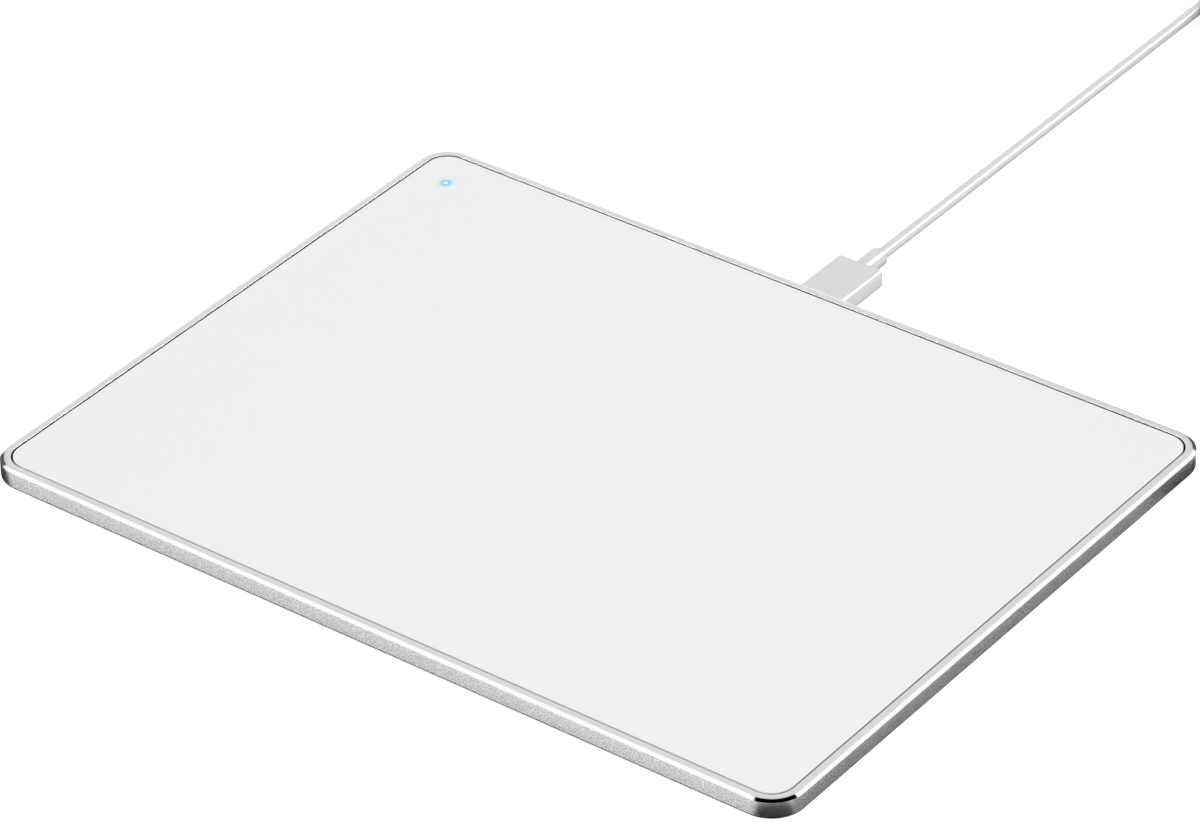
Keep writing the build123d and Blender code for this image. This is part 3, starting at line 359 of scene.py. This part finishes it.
sky = bpy.data.worlds.new("sky")
scene.world = sky
sky.use_nodes = True
sky_nodes = sky.node_tree
sky_light = sky_nodes.nodes["Background"]
sky_light.inputs["Color"].default_value = (1.0, 1.0, 1.0, 1.0)
sky_path = sky_nodes.nodes.new("ShaderNodeLightPath")
sky_diffuse = 0.36
sky_seen = sky_nodes.nodes.new("ShaderNodeMapRange")
sky_nodes.links.new(sky_path.outputs["Is Diffuse Ray"], sky_seen.inputs["Value"])
sky_seen.inputs["To Min"].default_value = 1.0
sky_seen.inputs["To Max"].default_value = sky_diffuse
sky_nodes.links.new(sky_seen.outputs["Result"], sky_light.inputs["Strength"])
sky_way = sky_nodes.nodes.new("ShaderNodeTexCoord").outputs["Generated"]
sky_tone = None
sky_flags = (
    ((0.03, 0.13, 0.99), 25.0, 2.0, 0.0),
    ((-0.22, 0.94, 0.26), 17.0, 7.0, 0.10),
    ((-0.84, 0.32, 0.44), 17.0, 7.0, 0.10),
)
for flag_way, flag_spread, flag_edge, flag_tone in sky_flags:
    flag_near = sky_nodes.nodes.new("ShaderNodeVectorMath")
    flag_near.operation = "DOT_PRODUCT"
    sky_nodes.links.new(sky_way, flag_near.inputs[0])
    flag_near.inputs[1].default_value = Vector(flag_way).normalized()
    flag = sky_nodes.nodes.new("ShaderNodeMapRange")
    flag.interpolation_type = "SMOOTHSTEP"
    sky_nodes.links.new(flag_near.outputs["Value"], flag.inputs["Value"])
    flag.inputs["From Min"].default_value = math.cos(math.radians(flag_spread))
    flag.inputs["From Max"].default_value = math.cos(math.radians(flag_spread - flag_edge))
    sky_nodes.links.new(sky_path.outputs["Is Glossy Ray"], flag.inputs["To Max"])
    flagged = sky_nodes.nodes.new("ShaderNodeMix")
    flagged.data_type = "RGBA"
    sky_nodes.links.new(flag.outputs["Result"], flagged.inputs[0])
    flagged.inputs[6].default_value = (1.0, 1.0, 1.0, 1.0)
    flagged.inputs[7].default_value = (flag_tone, flag_tone, flag_tone, 1.0)
    if sky_tone is not None:
        sky_nodes.links.new(sky_tone, flagged.inputs[6])
    sky_tone = flagged.outputs[2]
sky_nodes.links.new(sky_tone, sky_light.inputs["Color"])


def soft_sun(name, way, spread, strength):
    """Even soft light that comes from a direction."""
    lamp = bpy.data.lights.new(name, "SUN")
    lamp.angle = math.radians(spread)
    lamp.energy = strength
    holder = bpy.data.objects.new(name, lamp)
    scene.collection.objects.link(holder)
    holder.rotation_euler = (-Vector(way)).to_track_quat("-Z", "Y").to_euler()


soft_sun("front_light", (-0.62, -0.55, 0.56), spread=25.0, strength=1.62)
soft_sun("rear_light", (0.50, 0.66, 0.56), spread=28.0, strength=1.36)
soft_sun("side_light", (0.92, -0.20, 0.33), spread=20.0, strength=0.75)

# Tray
# A grey plastic moulding with a finely sparked outside, which carries all that is inside. Its round rubber
# feet are glued into shallow pockets, and flat screws hold it to the frame. The pad's sheet steel has the
# screws' finish, and the two controls in the tray are of a paler plastic.


def dress(finish, *names):
    """Give CAD nodes one finish."""
    for name in names:
        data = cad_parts[name].data
        data.materials.clear()
        data.materials.append(finish.material)


def grained(name, colour, roughness, size, spread, depth, metallic=0.0, **constants):
    """A finish with a fine grain: its colour, gloss and surface vary together."""
    finish = Finish(name, colour, roughness, metallic, **constants)
    grain = finish.noise(size)
    patches = finish.noise(size * 20, detail=2.0)
    finish.put("Base Color", finish.shade(grain * 0.5 + patches * 0.5, spread))
    finish.put("Roughness", roughness + (patches - 0.5) * 0.15)
    finish.emboss(grain, depth)
    return finish


tray_finish = grained(
    "tray_plastic", (0.60, 0.60, 0.61), roughness=0.55, size=0.25, spread=0.05, depth=0.01
)
dress(tray_finish, "bottom_tray")
foot_finish = grained("foot_rubber", (0.50, 0.50, 0.51), roughness=0.8, size=0.4, spread=0.06, depth=0.02)
dress(foot_finish, "rubber_feet")
steel_finish = grained(
    "screw_steel", (0.56, 0.56, 0.58), roughness=0.32, size=0.08, spread=0.12, depth=0.004, metallic=1.0
)
dress(
    steel_finish, "tray_screws", "board_screws", "hinge_screws", "leaf_screws", "stiffener_plate",
    "leaf_springs", "switch_cover", "shield_can",
)
control_finish = grained(
    "control_plastic", (0.72, 0.72, 0.73), roughness=0.42, size=0.3, spread=0.03, depth=0.006
)
dress(control_finish, "power_slider", "pair_button")

# Boards and what is on them
# Glass-fibre boards under green solder mask, with black moulded chips, cream connectors, gold contacts and
# amber flat cables.
board_finish = Finish("board_mask", (0.02, 0.14, 0.06), roughness=0.35)
board_lines = board_finish.cells(size=2.4, feature="DISTANCE_TO_EDGE").fade(0.03, 0.06)
board_finish.put("Base Color", board_finish.blend(board_lines, (0.05, 0.24, 0.11), (0.02, 0.13, 0.06)))
board_finish.emboss(board_lines, depth=0.02)
dress(board_finish, "sensor_board", "main_board", "switch_board", "battery_board")
chip_finish = grained("chip_black", (0.025, 0.025, 0.028), roughness=0.6, size=0.1, spread=0.2, depth=0.004)
dress(chip_finish, "touch_chips", "board_chips", "switch_base", "power_switch_body", "pair_switch")
connector_finish = grained(
    "connector_cream", (0.62, 0.56, 0.42), roughness=0.5, size=0.2, spread=0.05, depth=0.004
)
dress(connector_finish, "touch_connector", "ribbon_connector", "battery_connector", "switch_plunger")
gold_finish = grained(
    "contact_gold", (0.83, 0.60, 0.24), roughness=0.25, size=0.05, spread=0.08, depth=0.002, metallic=1.0
)
dress(gold_finish, "switch_terminals", "socket_contacts", "host_contacts")
flat_finish = Finish("flat_cable", (0.42, 0.17, 0.03), roughness=0.3)
flat_x = flat_finish.axes()[0]
wires_per_mm = 2.0
flat_wires = abs((flat_x * wires_per_mm).fraction() - 0.5).fade(0.2, 0.3)
flat_finish.put("Base Color", flat_finish.blend(flat_wires, (0.42, 0.17, 0.03), (0.60, 0.30, 0.08)))
dress(flat_finish, "touch_ribbon", "switch_ribbon")
tongue_finish = grained(
    "tongue_plastic", (0.70, 0.70, 0.69), roughness=0.5, size=0.15, spread=0.03, depth=0.003
)
dress(tongue_finish, "socket_tongue", "plug_insert", "host_tongue")
pad_finish = grained("pad_black", (0.05, 0.05, 0.055), roughness=0.6, size=0.2, spread=0.1, depth=0.006)
dress(pad_finish, "strike_pad", "battery_tape")

# Battery
# A soft foil pouch on black tape, with a guard board at its end and two red leads.
pouch_finish = grained(
    "pouch_foil", (0.52, 0.53, 0.54), roughness=0.4, size=2.5, spread=0.06, depth=0.05, metallic=0.8
)
dress(pouch_finish, "battery_cell")
wire_finish = grained("wire_red", (0.45, 0.03, 0.02), roughness=0.45, size=0.3, spread=0.08, depth=0.004)
dress(wire_finish, "battery_leads")

# Frame
# One ring milled from aluminium and bead blasted, with a narrow bevel cut bright round its top edge, an
# inner flange below the glass, eight screw lugs, and a notch in the rear wall for the port's collar.


def carried_round(mesh, section, half_width, half_depth, radius, steps):
    """Carry a cross-section of insets and heights along the four sides and round the four corners."""
    dots = [mesh.verts.new((radius - half_width, inset - half_depth, height)) for inset, height in section]
    edges = [mesh.edges.new(pair) for pair in zip(dots, dots[1:])]
    if section[0] == section[-1]:
        bmesh.ops.remove_doubles(mesh, verts=dots, dist=radius * MM)
        edges = list(mesh.edges)
    long_x = 2 * (half_width - radius)
    long_y = 2 * (half_depth - radius)
    for number, run in enumerate(((long_x, 0), (0, long_y), (-long_x, 0), (0, -long_y))):
        carried = bmesh.ops.extrude_edge_only(mesh, edges=edges)["geom"]
        moved = [part for part in carried if isinstance(part, bmesh.types.BMVert)]
        edges = [part for part in carried if isinstance(part, bmesh.types.BMEdge)]
        bmesh.ops.translate(mesh, verts=moved, vec=(run[0], run[1], 0))
        centre_x = (half_width - radius) * (1 if number in (0, 1) else -1)
        centre_y = (half_depth - radius) * (1 if number in (1, 2) else -1)
        turned = bmesh.ops.spin(
            mesh, geom=moved + edges, cent=(centre_x, centre_y, 0), axis=(0, 0, 1), dvec=(0, 0, 0),
            angle=math.pi / 2, steps=steps, space=Matrix.Identity(4), use_merge=False, use_duplicate=False,
        )["geom_last"]
        edges = [part for part in turned if isinstance(part, bmesh.types.BMEdge)]
    bmesh.ops.remove_doubles(mesh, verts=mesh.verts, dist=MM)


def arc(centre, radius, start, end, steps):
    """Points of inset and height on an arc, from one angle to another in degrees."""
    angles = [math.radians(start + (end - start) * step / steps) for step in range(steps + 1)]
    return [(centre[0] + radius * math.cos(angle), centre[1] + radius * math.sin(angle)) for angle in angles]


def finished(name, mesh, finishes, body, turn=None):
    """Turn a mesh in millimetres to its place, and make it a piece that rides on a body."""
    bmesh.ops.recalc_face_normals(mesh, faces=mesh.faces)
    if turn is not None:
        bmesh.ops.transform(mesh, matrix=turn, verts=mesh.verts)
    bmesh.ops.scale(mesh, vec=(MM, MM, MM), verts=mesh.verts)
    for face in mesh.faces:
        face.smooth = True
    data = bpy.data.meshes.new(name)
    mesh.to_mesh(data)
    mesh.free()
    for finish in finishes:
        data.materials.append(finish.material)
    data.set_sharp_from_angle(angle=math.radians(40))
    piece = bpy.data.objects.new(name, data)
    scene.collection.objects.link(piece)
    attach(piece, body)
    return piece


def corners(node):
    """A CAD node's lowest and highest corner in millimetres."""
    low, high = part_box(node)
    return low / MM, high / MM


half_width, half_depth, rim_z = corners("bezel_frame")[1]
corner_radius = 6.8
edge_height = 3.92
frame_low = rim_z - edge_height
wall = 2.025
bevel_width = 0.77
bevel_drop = 0.37
flange_reach = 3.5
flange_thick = 0.7
lower_round = 0.5
inner_round = 0.03
edge_round = 0.04
edge_in, edge_up, edge_fall = 0.4, 0.6, 0.5
round_steps = 5
corner_steps = 24
lug_radius = 3.2
lug_drop = 0.9
lug_inset = 9.5
lug_hole = 0.82
lug_steps = 24
lug_middle_x = half_width / 3
notch_half = 5.62
notch_top = 5.28
frame_mesh = bmesh.new()
section = arc((lower_round, frame_low + lower_round), lower_round, 270, 180, round_steps)
section += [(0.0, rim_z - bevel_drop - edge_round)]
section += [(edge_round * edge_in, rim_z - bevel_drop + edge_round * edge_up)]
section += [(bevel_width - edge_round, rim_z - edge_round * edge_fall), (bevel_width + edge_round, rim_z)]
section += arc((wall - inner_round, rim_z - inner_round), inner_round, 90, 0, round_steps)
section += [(wall, frame_low + flange_thick), (wall + flange_reach, frame_low + flange_thick)]
section += [(wall + flange_reach, frame_low)]
section += [section[0]]
carried_round(frame_mesh, section, half_width, half_depth, corner_radius, corner_steps)
frame_finish = Finish("frame_blasted", (0.69, 0.69, 0.71), roughness=0.32, metallic=1.0)
frame_grain = frame_finish.noise(size=0.26, detail=0.0).fade(0.34, 0.66)
frame_pits = frame_finish.cells(size=0.24).fade(0.15, 0.75)
grain_share, pit_share, middle_tone = 0.6, 0.4, 0.5
corner_fade = 2.5
corner_calm = 0.8
straight_x, straight_y = half_width - corner_radius, half_depth - corner_radius
frame_x, frame_y = frame_finish.axes()
corner_part = abs(frame_x).fade(straight_x, straight_x + corner_fade)
corner_part = corner_part * abs(frame_y).fade(straight_y, straight_y + corner_fade)
straight = 1 - corner_part * corner_calm
frame_specks = (frame_grain * grain_share + frame_pits * pit_share - middle_tone) * straight + middle_tone
frame_finish.put("Base Color", frame_finish.shade(frame_specks, spread=0.38))
corner_roughness, grain_roughness, straight_roughness = 0.24, 0.10, 0.03
frame_finish.put(
    "Roughness", corner_roughness + frame_grain * grain_roughness * straight + straight * straight_roughness
)
frame_finish.emboss(frame_grain * straight, depth=0.012)
# Painted shade: a near-black finish for the frame's inner wall beside the glass and for the round at the
# foot of its outer wall, where the gap and the frame's underside lie in shade.
painted_shade_finish = grained(
    "gap_painted_shade", (0.02, 0.02, 0.022), roughness=0.6, size=0.2, spread=0.1, depth=0.002, specular_ior_level=0.1
)
rim_finish = grained(
    "rim_blasted", (0.72, 0.72, 0.735), roughness=0.30, size=0.2, spread=0.10, depth=0.004, metallic=1.0
)
bevel_finish = Finish("bevel_bright", (0.97, 0.97, 0.975), roughness=0.05, metallic=1.0)
bevel_cuts = bevel_finish.noise(size=0.5, detail=2.0)
bevel_finish.put("Roughness", 0.03 + bevel_cuts * 0.04)
bevel_finish.put("Base Color", bevel_finish.shade(bevel_cuts, spread=0.015))
bevel_index, painted_shade_index, rim_index = 1, 2, 3
frame_mesh.normal_update()
for face in frame_mesh.faces:
    middle = face.calc_center_median()
    past_x = abs(middle.x) - half_width + corner_radius
    past_y = abs(middle.y) - half_depth + corner_radius
    in_corner = min(past_x, past_y) > 0
    depth = corner_radius - (math.hypot(past_x, past_y) if in_corner else max(past_x, past_y))
    if middle.z > rim_z - bevel_drop and depth < bevel_width:
        face.material_index = bevel_index
    elif depth > wall - inner_round and middle.z > rim_z - inner_round:
        face.material_index = bevel_index
    # The inner wall beside the glass gets the painted shade of the gap.
    elif wall - inner_round < depth < wall + inner_round and middle.z > frame_low + flange_thick:
        face.material_index = painted_shade_index
    # The round at the foot of the outer wall gets painted shade, a dark shadow line.
    elif depth < lower_round and middle.z < frame_low + lower_round:
        face.material_index = painted_shade_index
    elif middle.z > rim_z - edge_round:
        face.material_index = rim_index
notch_cuts = ((notch_half, (1, 0, 0)), (-notch_half, (1, 0, 0)), (notch_top, (0, 0, 1)))
for place, way in notch_cuts:
    whole = list(frame_mesh.verts) + list(frame_mesh.edges) + list(frame_mesh.faces)
    bmesh.ops.bisect_plane(frame_mesh, geom=whole, plane_co=Vector(way) * place, plane_no=way)
middles = [(face, face.calc_center_median()) for face in frame_mesh.faces]
gone = [
    face
    for face, middle in middles
    if abs(middle.x) < notch_half and middle.y > 0 and middle.z < notch_top
]
bmesh.ops.delete(frame_mesh, geom=gone, context="FACES")
brink = [dot for dot in frame_mesh.verts if dot.is_boundary and abs(dot.co.z - notch_top) < MM]
brink = sorted(brink, key=lambda dot: math.atan2(dot.co.y - half_depth + wall / 2, dot.co.x))
frame_mesh.faces.new(brink)
bmesh.ops.holes_fill(frame_mesh, edges=frame_mesh.edges, sides=0)
lug_places = [
    (side * x, end * (half_depth - lug_inset))
    for side in (-1, 1)
    for end in (-1, 1)
    for x in (half_width - lug_inset, lug_middle_x)
]
for x, y in lug_places:
    dots = []
    for radius in (lug_hole, lug_radius):
        circle = bmesh.ops.create_circle(frame_mesh, cap_ends=False, radius=radius, segments=lug_steps)
        dots += circle["verts"]
    bmesh.ops.translate(frame_mesh, verts=dots, vec=(x, y, frame_low - lug_drop))
    loops = [edge for edge in frame_mesh.edges if edge.verts[0] in dots and edge.verts[1] in dots]
    faces = bmesh.ops.bridge_loops(frame_mesh, edges=loops)["faces"]
    grown = bmesh.ops.extrude_face_region(frame_mesh, geom=faces)["geom"]
    raised = [part for part in grown if isinstance(part, bmesh.types.BMVert)]
    bmesh.ops.translate(frame_mesh, verts=raised, vec=(0, 0, lug_drop + flange_thick))
frame_finishes = [frame_finish, bevel_finish, painted_shade_finish, rim_finish]
metal_frame = finished("metal_frame", frame_mesh, frame_finishes, "base")
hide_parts("bezel_frame")

# Glass
# One sheet of satin glass, white from the layer printed on its back, with its upper edge eased. Near the
# rear left corner a lamp behind a pinhole shines blue through it, and that light is painted on the glass.
glass_low_corner, glass_high_corner = corners("cover_glass")
glass_half_width, glass_half_depth, glass_high = glass_high_corner
glass_low = glass_low_corner.z
glass_gap = 0.4
glass_round = 0.04
glass_steps = 4
glass_mesh = bmesh.new()
section = [(glass_round, glass_low), (0.0, glass_low + glass_round)]
section += arc((glass_round, glass_high - glass_round), glass_round, 180, 90, glass_steps)
glass_radius = corner_radius - wall - glass_gap
carried_round(glass_mesh, section, glass_half_width, glass_half_depth, glass_radius, corner_steps)
bmesh.ops.holes_fill(glass_mesh, edges=glass_mesh.edges, sides=0)
glass_white = (0.885, 0.893, 0.905)
glass_finish = Finish("glass_white", glass_white, roughness=0.32, ior=1.5)
glass_grain = glass_finish.noise(size=0.12, detail=2.0)
glass_finish.put("Roughness", 0.30 + glass_grain * 0.08)
glass_finish.emboss(glass_grain, depth=0.0015)
lamp_low, lamp_high = corners("indicator_led")
lamp_place = (lamp_low + lamp_high) / 2
glass_x, glass_y = glass_finish.axes()
lamp_reach = ((glass_x - lamp_place.x) ** 2.0 + (glass_y - lamp_place.y) ** 2.0).root()
core_edge, ring_edge, halo_edge = (0.36, 0.66), (0.70, 1.35), (0.5, 2.4)
halo_share = 0.62
halo_blue, ring_blue = (0.42, 0.72, 0.92), (0.18, 0.44, 0.62)
no_glow, ring_glow, core_glow = (0.0, 0.0, 0.0), (0.04, 0.10, 0.14), (0.36, 0.62, 0.52)
# Painted light: the lamp's glow is painted on the glass, as a blue halo and ring in its colour and a ring
# and core in its emission, though the glass is no lamp.
lamp_core = 1 - lamp_reach.fade(*core_edge)
lamp_ring = 1 - lamp_reach.fade(*ring_edge)
lamp_halo = (1 - lamp_reach.fade(*halo_edge)) * halo_share
glass_painted_halo = glass_finish.blend(lamp_halo, glass_white, halo_blue)
glass_painted_halo = glass_finish.blend(lamp_ring, glass_painted_halo, ring_blue)
glass_finish.put("Base Color", glass_painted_halo)
painted_lamp_glow = glass_finish.blend(lamp_ring, no_glow, ring_glow)
painted_lamp_glow = glass_finish.blend(lamp_core, painted_lamp_glow, core_glow)
glass_finish.put("Emission Color", painted_lamp_glow)
glass_finish.put("Emission Strength", 1.0)
glass_top = finished("glass_top", glass_mesh, [glass_finish], "touch_plate")
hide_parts("cover_glass")
film_finish = grained("film_white", (0.80, 0.80, 0.80), roughness=0.5, size=0.3, spread=0.02, depth=0.002)
dress(film_finish, "glass_film", "led_lens")
lamp_finish = grained("lamp_clear", (0.30, 0.55, 0.95), roughness=0.2, size=0.2, spread=0.05, depth=0.002)
dress(lamp_finish, "indicator_led")

# Plug in the rear of the pad
# A slim grip moulded in pale grey plastic over a folded steel shell, with a short soft sleeve behind it.
grip_low, grip_high = corners("plug_overmold")
sleeve_low, sleeve_high = corners("plug_boot")
lead_finish = Finish("lead_plastic", (0.66, 0.66, 0.665), roughness=0.2, ior=1.6, specular_ior_level=1.0)
lead_grain = lead_finish.noise(size=0.35)
lead_finish.put("Base Color", lead_finish.shade(lead_grain, spread=0.03))
lead_finish.put("Roughness", 0.15 + lead_grain * 0.08)
lead_finish.emboss(lead_grain, depth=0.004)
shell_finish = grained(
    "shell_metal", (0.62, 0.62, 0.64), roughness=0.22, size=0.1, spread=0.06, depth=0.002, metallic=1.0
)
dress(shell_finish, "socket_shell", "plug_shell", "host_shell")
grip_round = 1.15
grip_end_round = 0.45
grip_end_steps = 6
grip_corner_steps = 12
grip_length = grip_high.y - grip_low.y
grip_mesh = bmesh.new()
section = arc((grip_end_round, grip_end_round), grip_end_round, 270, 180, grip_end_steps)
section += arc((grip_end_round, grip_length - grip_end_round), grip_end_round, 180, 90, grip_end_steps)
grip_half_width, grip_half_height = (grip_high.x - grip_low.x) / 2, (grip_high.z - grip_low.z) / 2
carried_round(grip_mesh, section, grip_half_width, grip_half_height, grip_round, grip_corner_steps)
bmesh.ops.holes_fill(grip_mesh, edges=grip_mesh.edges, sides=0)
rearward = Matrix.Rotation(math.radians(-90), 4, "X")
grip_turn = Matrix.Translation((0, grip_low.y, port_z)) @ rearward
plug_grip = finished("plug_grip", grip_mesh, [lead_finish], "lead", grip_turn)
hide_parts("plug_overmold")
lathe_steps = 40


def turned_piece(name, section, place, axis_turn, finish, body):
    """Turn a section of radii and heights on a lathe, and set it in its place."""
    mesh = bmesh.new()
    dots = [mesh.verts.new((radius, 0, height)) for radius, height in section]
    edges = [mesh.edges.new(pair) for pair in zip(dots, dots[1:])]
    bmesh.ops.spin(
        mesh, geom=dots + edges, cent=(0, 0, 0), axis=(0, 0, 1), dvec=(0, 0, 0), angle=2 * math.pi,
        steps=lathe_steps, space=Matrix.Identity(4), use_merge=True, use_duplicate=False,
    )
    bmesh.ops.remove_doubles(mesh, verts=mesh.verts, dist=MM)
    return finished(name, mesh, [finish], body, Matrix.Translation(place) @ axis_turn)


sleeve_radius = (sleeve_high.x - sleeve_low.x) / 2
sleeve_length = sleeve_high.y - sleeve_low.y
sleeve_round = 0.8
sleeve_steps = 8
section = [(0, 0), (sleeve_radius, 0)]
sleeve_turn = (sleeve_radius - sleeve_round, sleeve_length - sleeve_round)
section += arc(sleeve_turn, sleeve_round, 0, 90, sleeve_steps)
section += [(0, sleeve_length)]
plug_sleeve = turned_piece(
    "plug_sleeve", section, (0, sleeve_low.y, port_z), rearward, lead_finish, "lead"
)
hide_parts("plug_boot")

# Click dome
# The click switch's sprung steel dome, made at rest; in the real switch it gives way under the plunger as
# the glass is pressed.
dome_low, dome_high = corners("switch_dome")
dome_middle = (dome_low + dome_high) / 2
dome_half = (dome_high.x - dome_low.x) / 2
dome_rise = dome_high.z - dome_low.z
dome_thick = 0.08
dome_steps = 12
dome_bend = (dome_half ** 2 + dome_rise ** 2) / (2 * dome_rise)
dome_outer = math.degrees(math.acos(dome_half / dome_bend))
dome_inner = math.degrees(math.asin((dome_bend - dome_rise) / (dome_bend - dome_thick)))
section = arc((0, dome_rise - dome_bend), dome_bend, 90, dome_outer, dome_steps)
section += arc((0, dome_rise - dome_bend), dome_bend - dome_thick, dome_inner, 90, dome_steps)
click_dome = turned_piece(
    "click_dome", section, (dome_middle.x, dome_middle.y, dome_low.z), Matrix.Identity(4), steel_finish,
    "base",
)
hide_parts("switch_dome")
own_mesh(click_dome)

# Far plug, cord and strap
# The far plug has a larger grip with a tapered sleeve. A woven strap goes round the coil.
dress(lead_finish, "host_overmold", "host_boot")
cord_finish = Finish("cord_jacket", (0.66, 0.66, 0.665), roughness=0.2, ior=1.6, specular_ior_level=1.0)
cord_grain = cord_finish.noise(size=0.5)
cord_finish.put("Base Color", cord_finish.shade(cord_grain, spread=0.03))
cord_finish.put("Roughness", 0.17 + cord_grain * 0.07)
cord_finish.emboss(cord_grain, depth=0.006)
cord_curve.materials.append(cord_finish.material)
strap_finish = Finish("strap_woven", (0.70, 0.70, 0.71), roughness=0.8)
strap_x, strap_y = strap_finish.axes()
weave_turn = 6.0
strap_weave = (strap_x * weave_turn).sine() * (strap_y * weave_turn).sine() * 0.5 + 0.5
strap_finish.put("Base Color", strap_finish.shade(strap_weave, spread=0.08))
strap_finish.emboss(strap_weave, depth=0.08)
dress(strap_finish, "coil_tie")
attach(lead_cord, "lead")
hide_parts("cable_run", "cable_coil", "cable_tail")
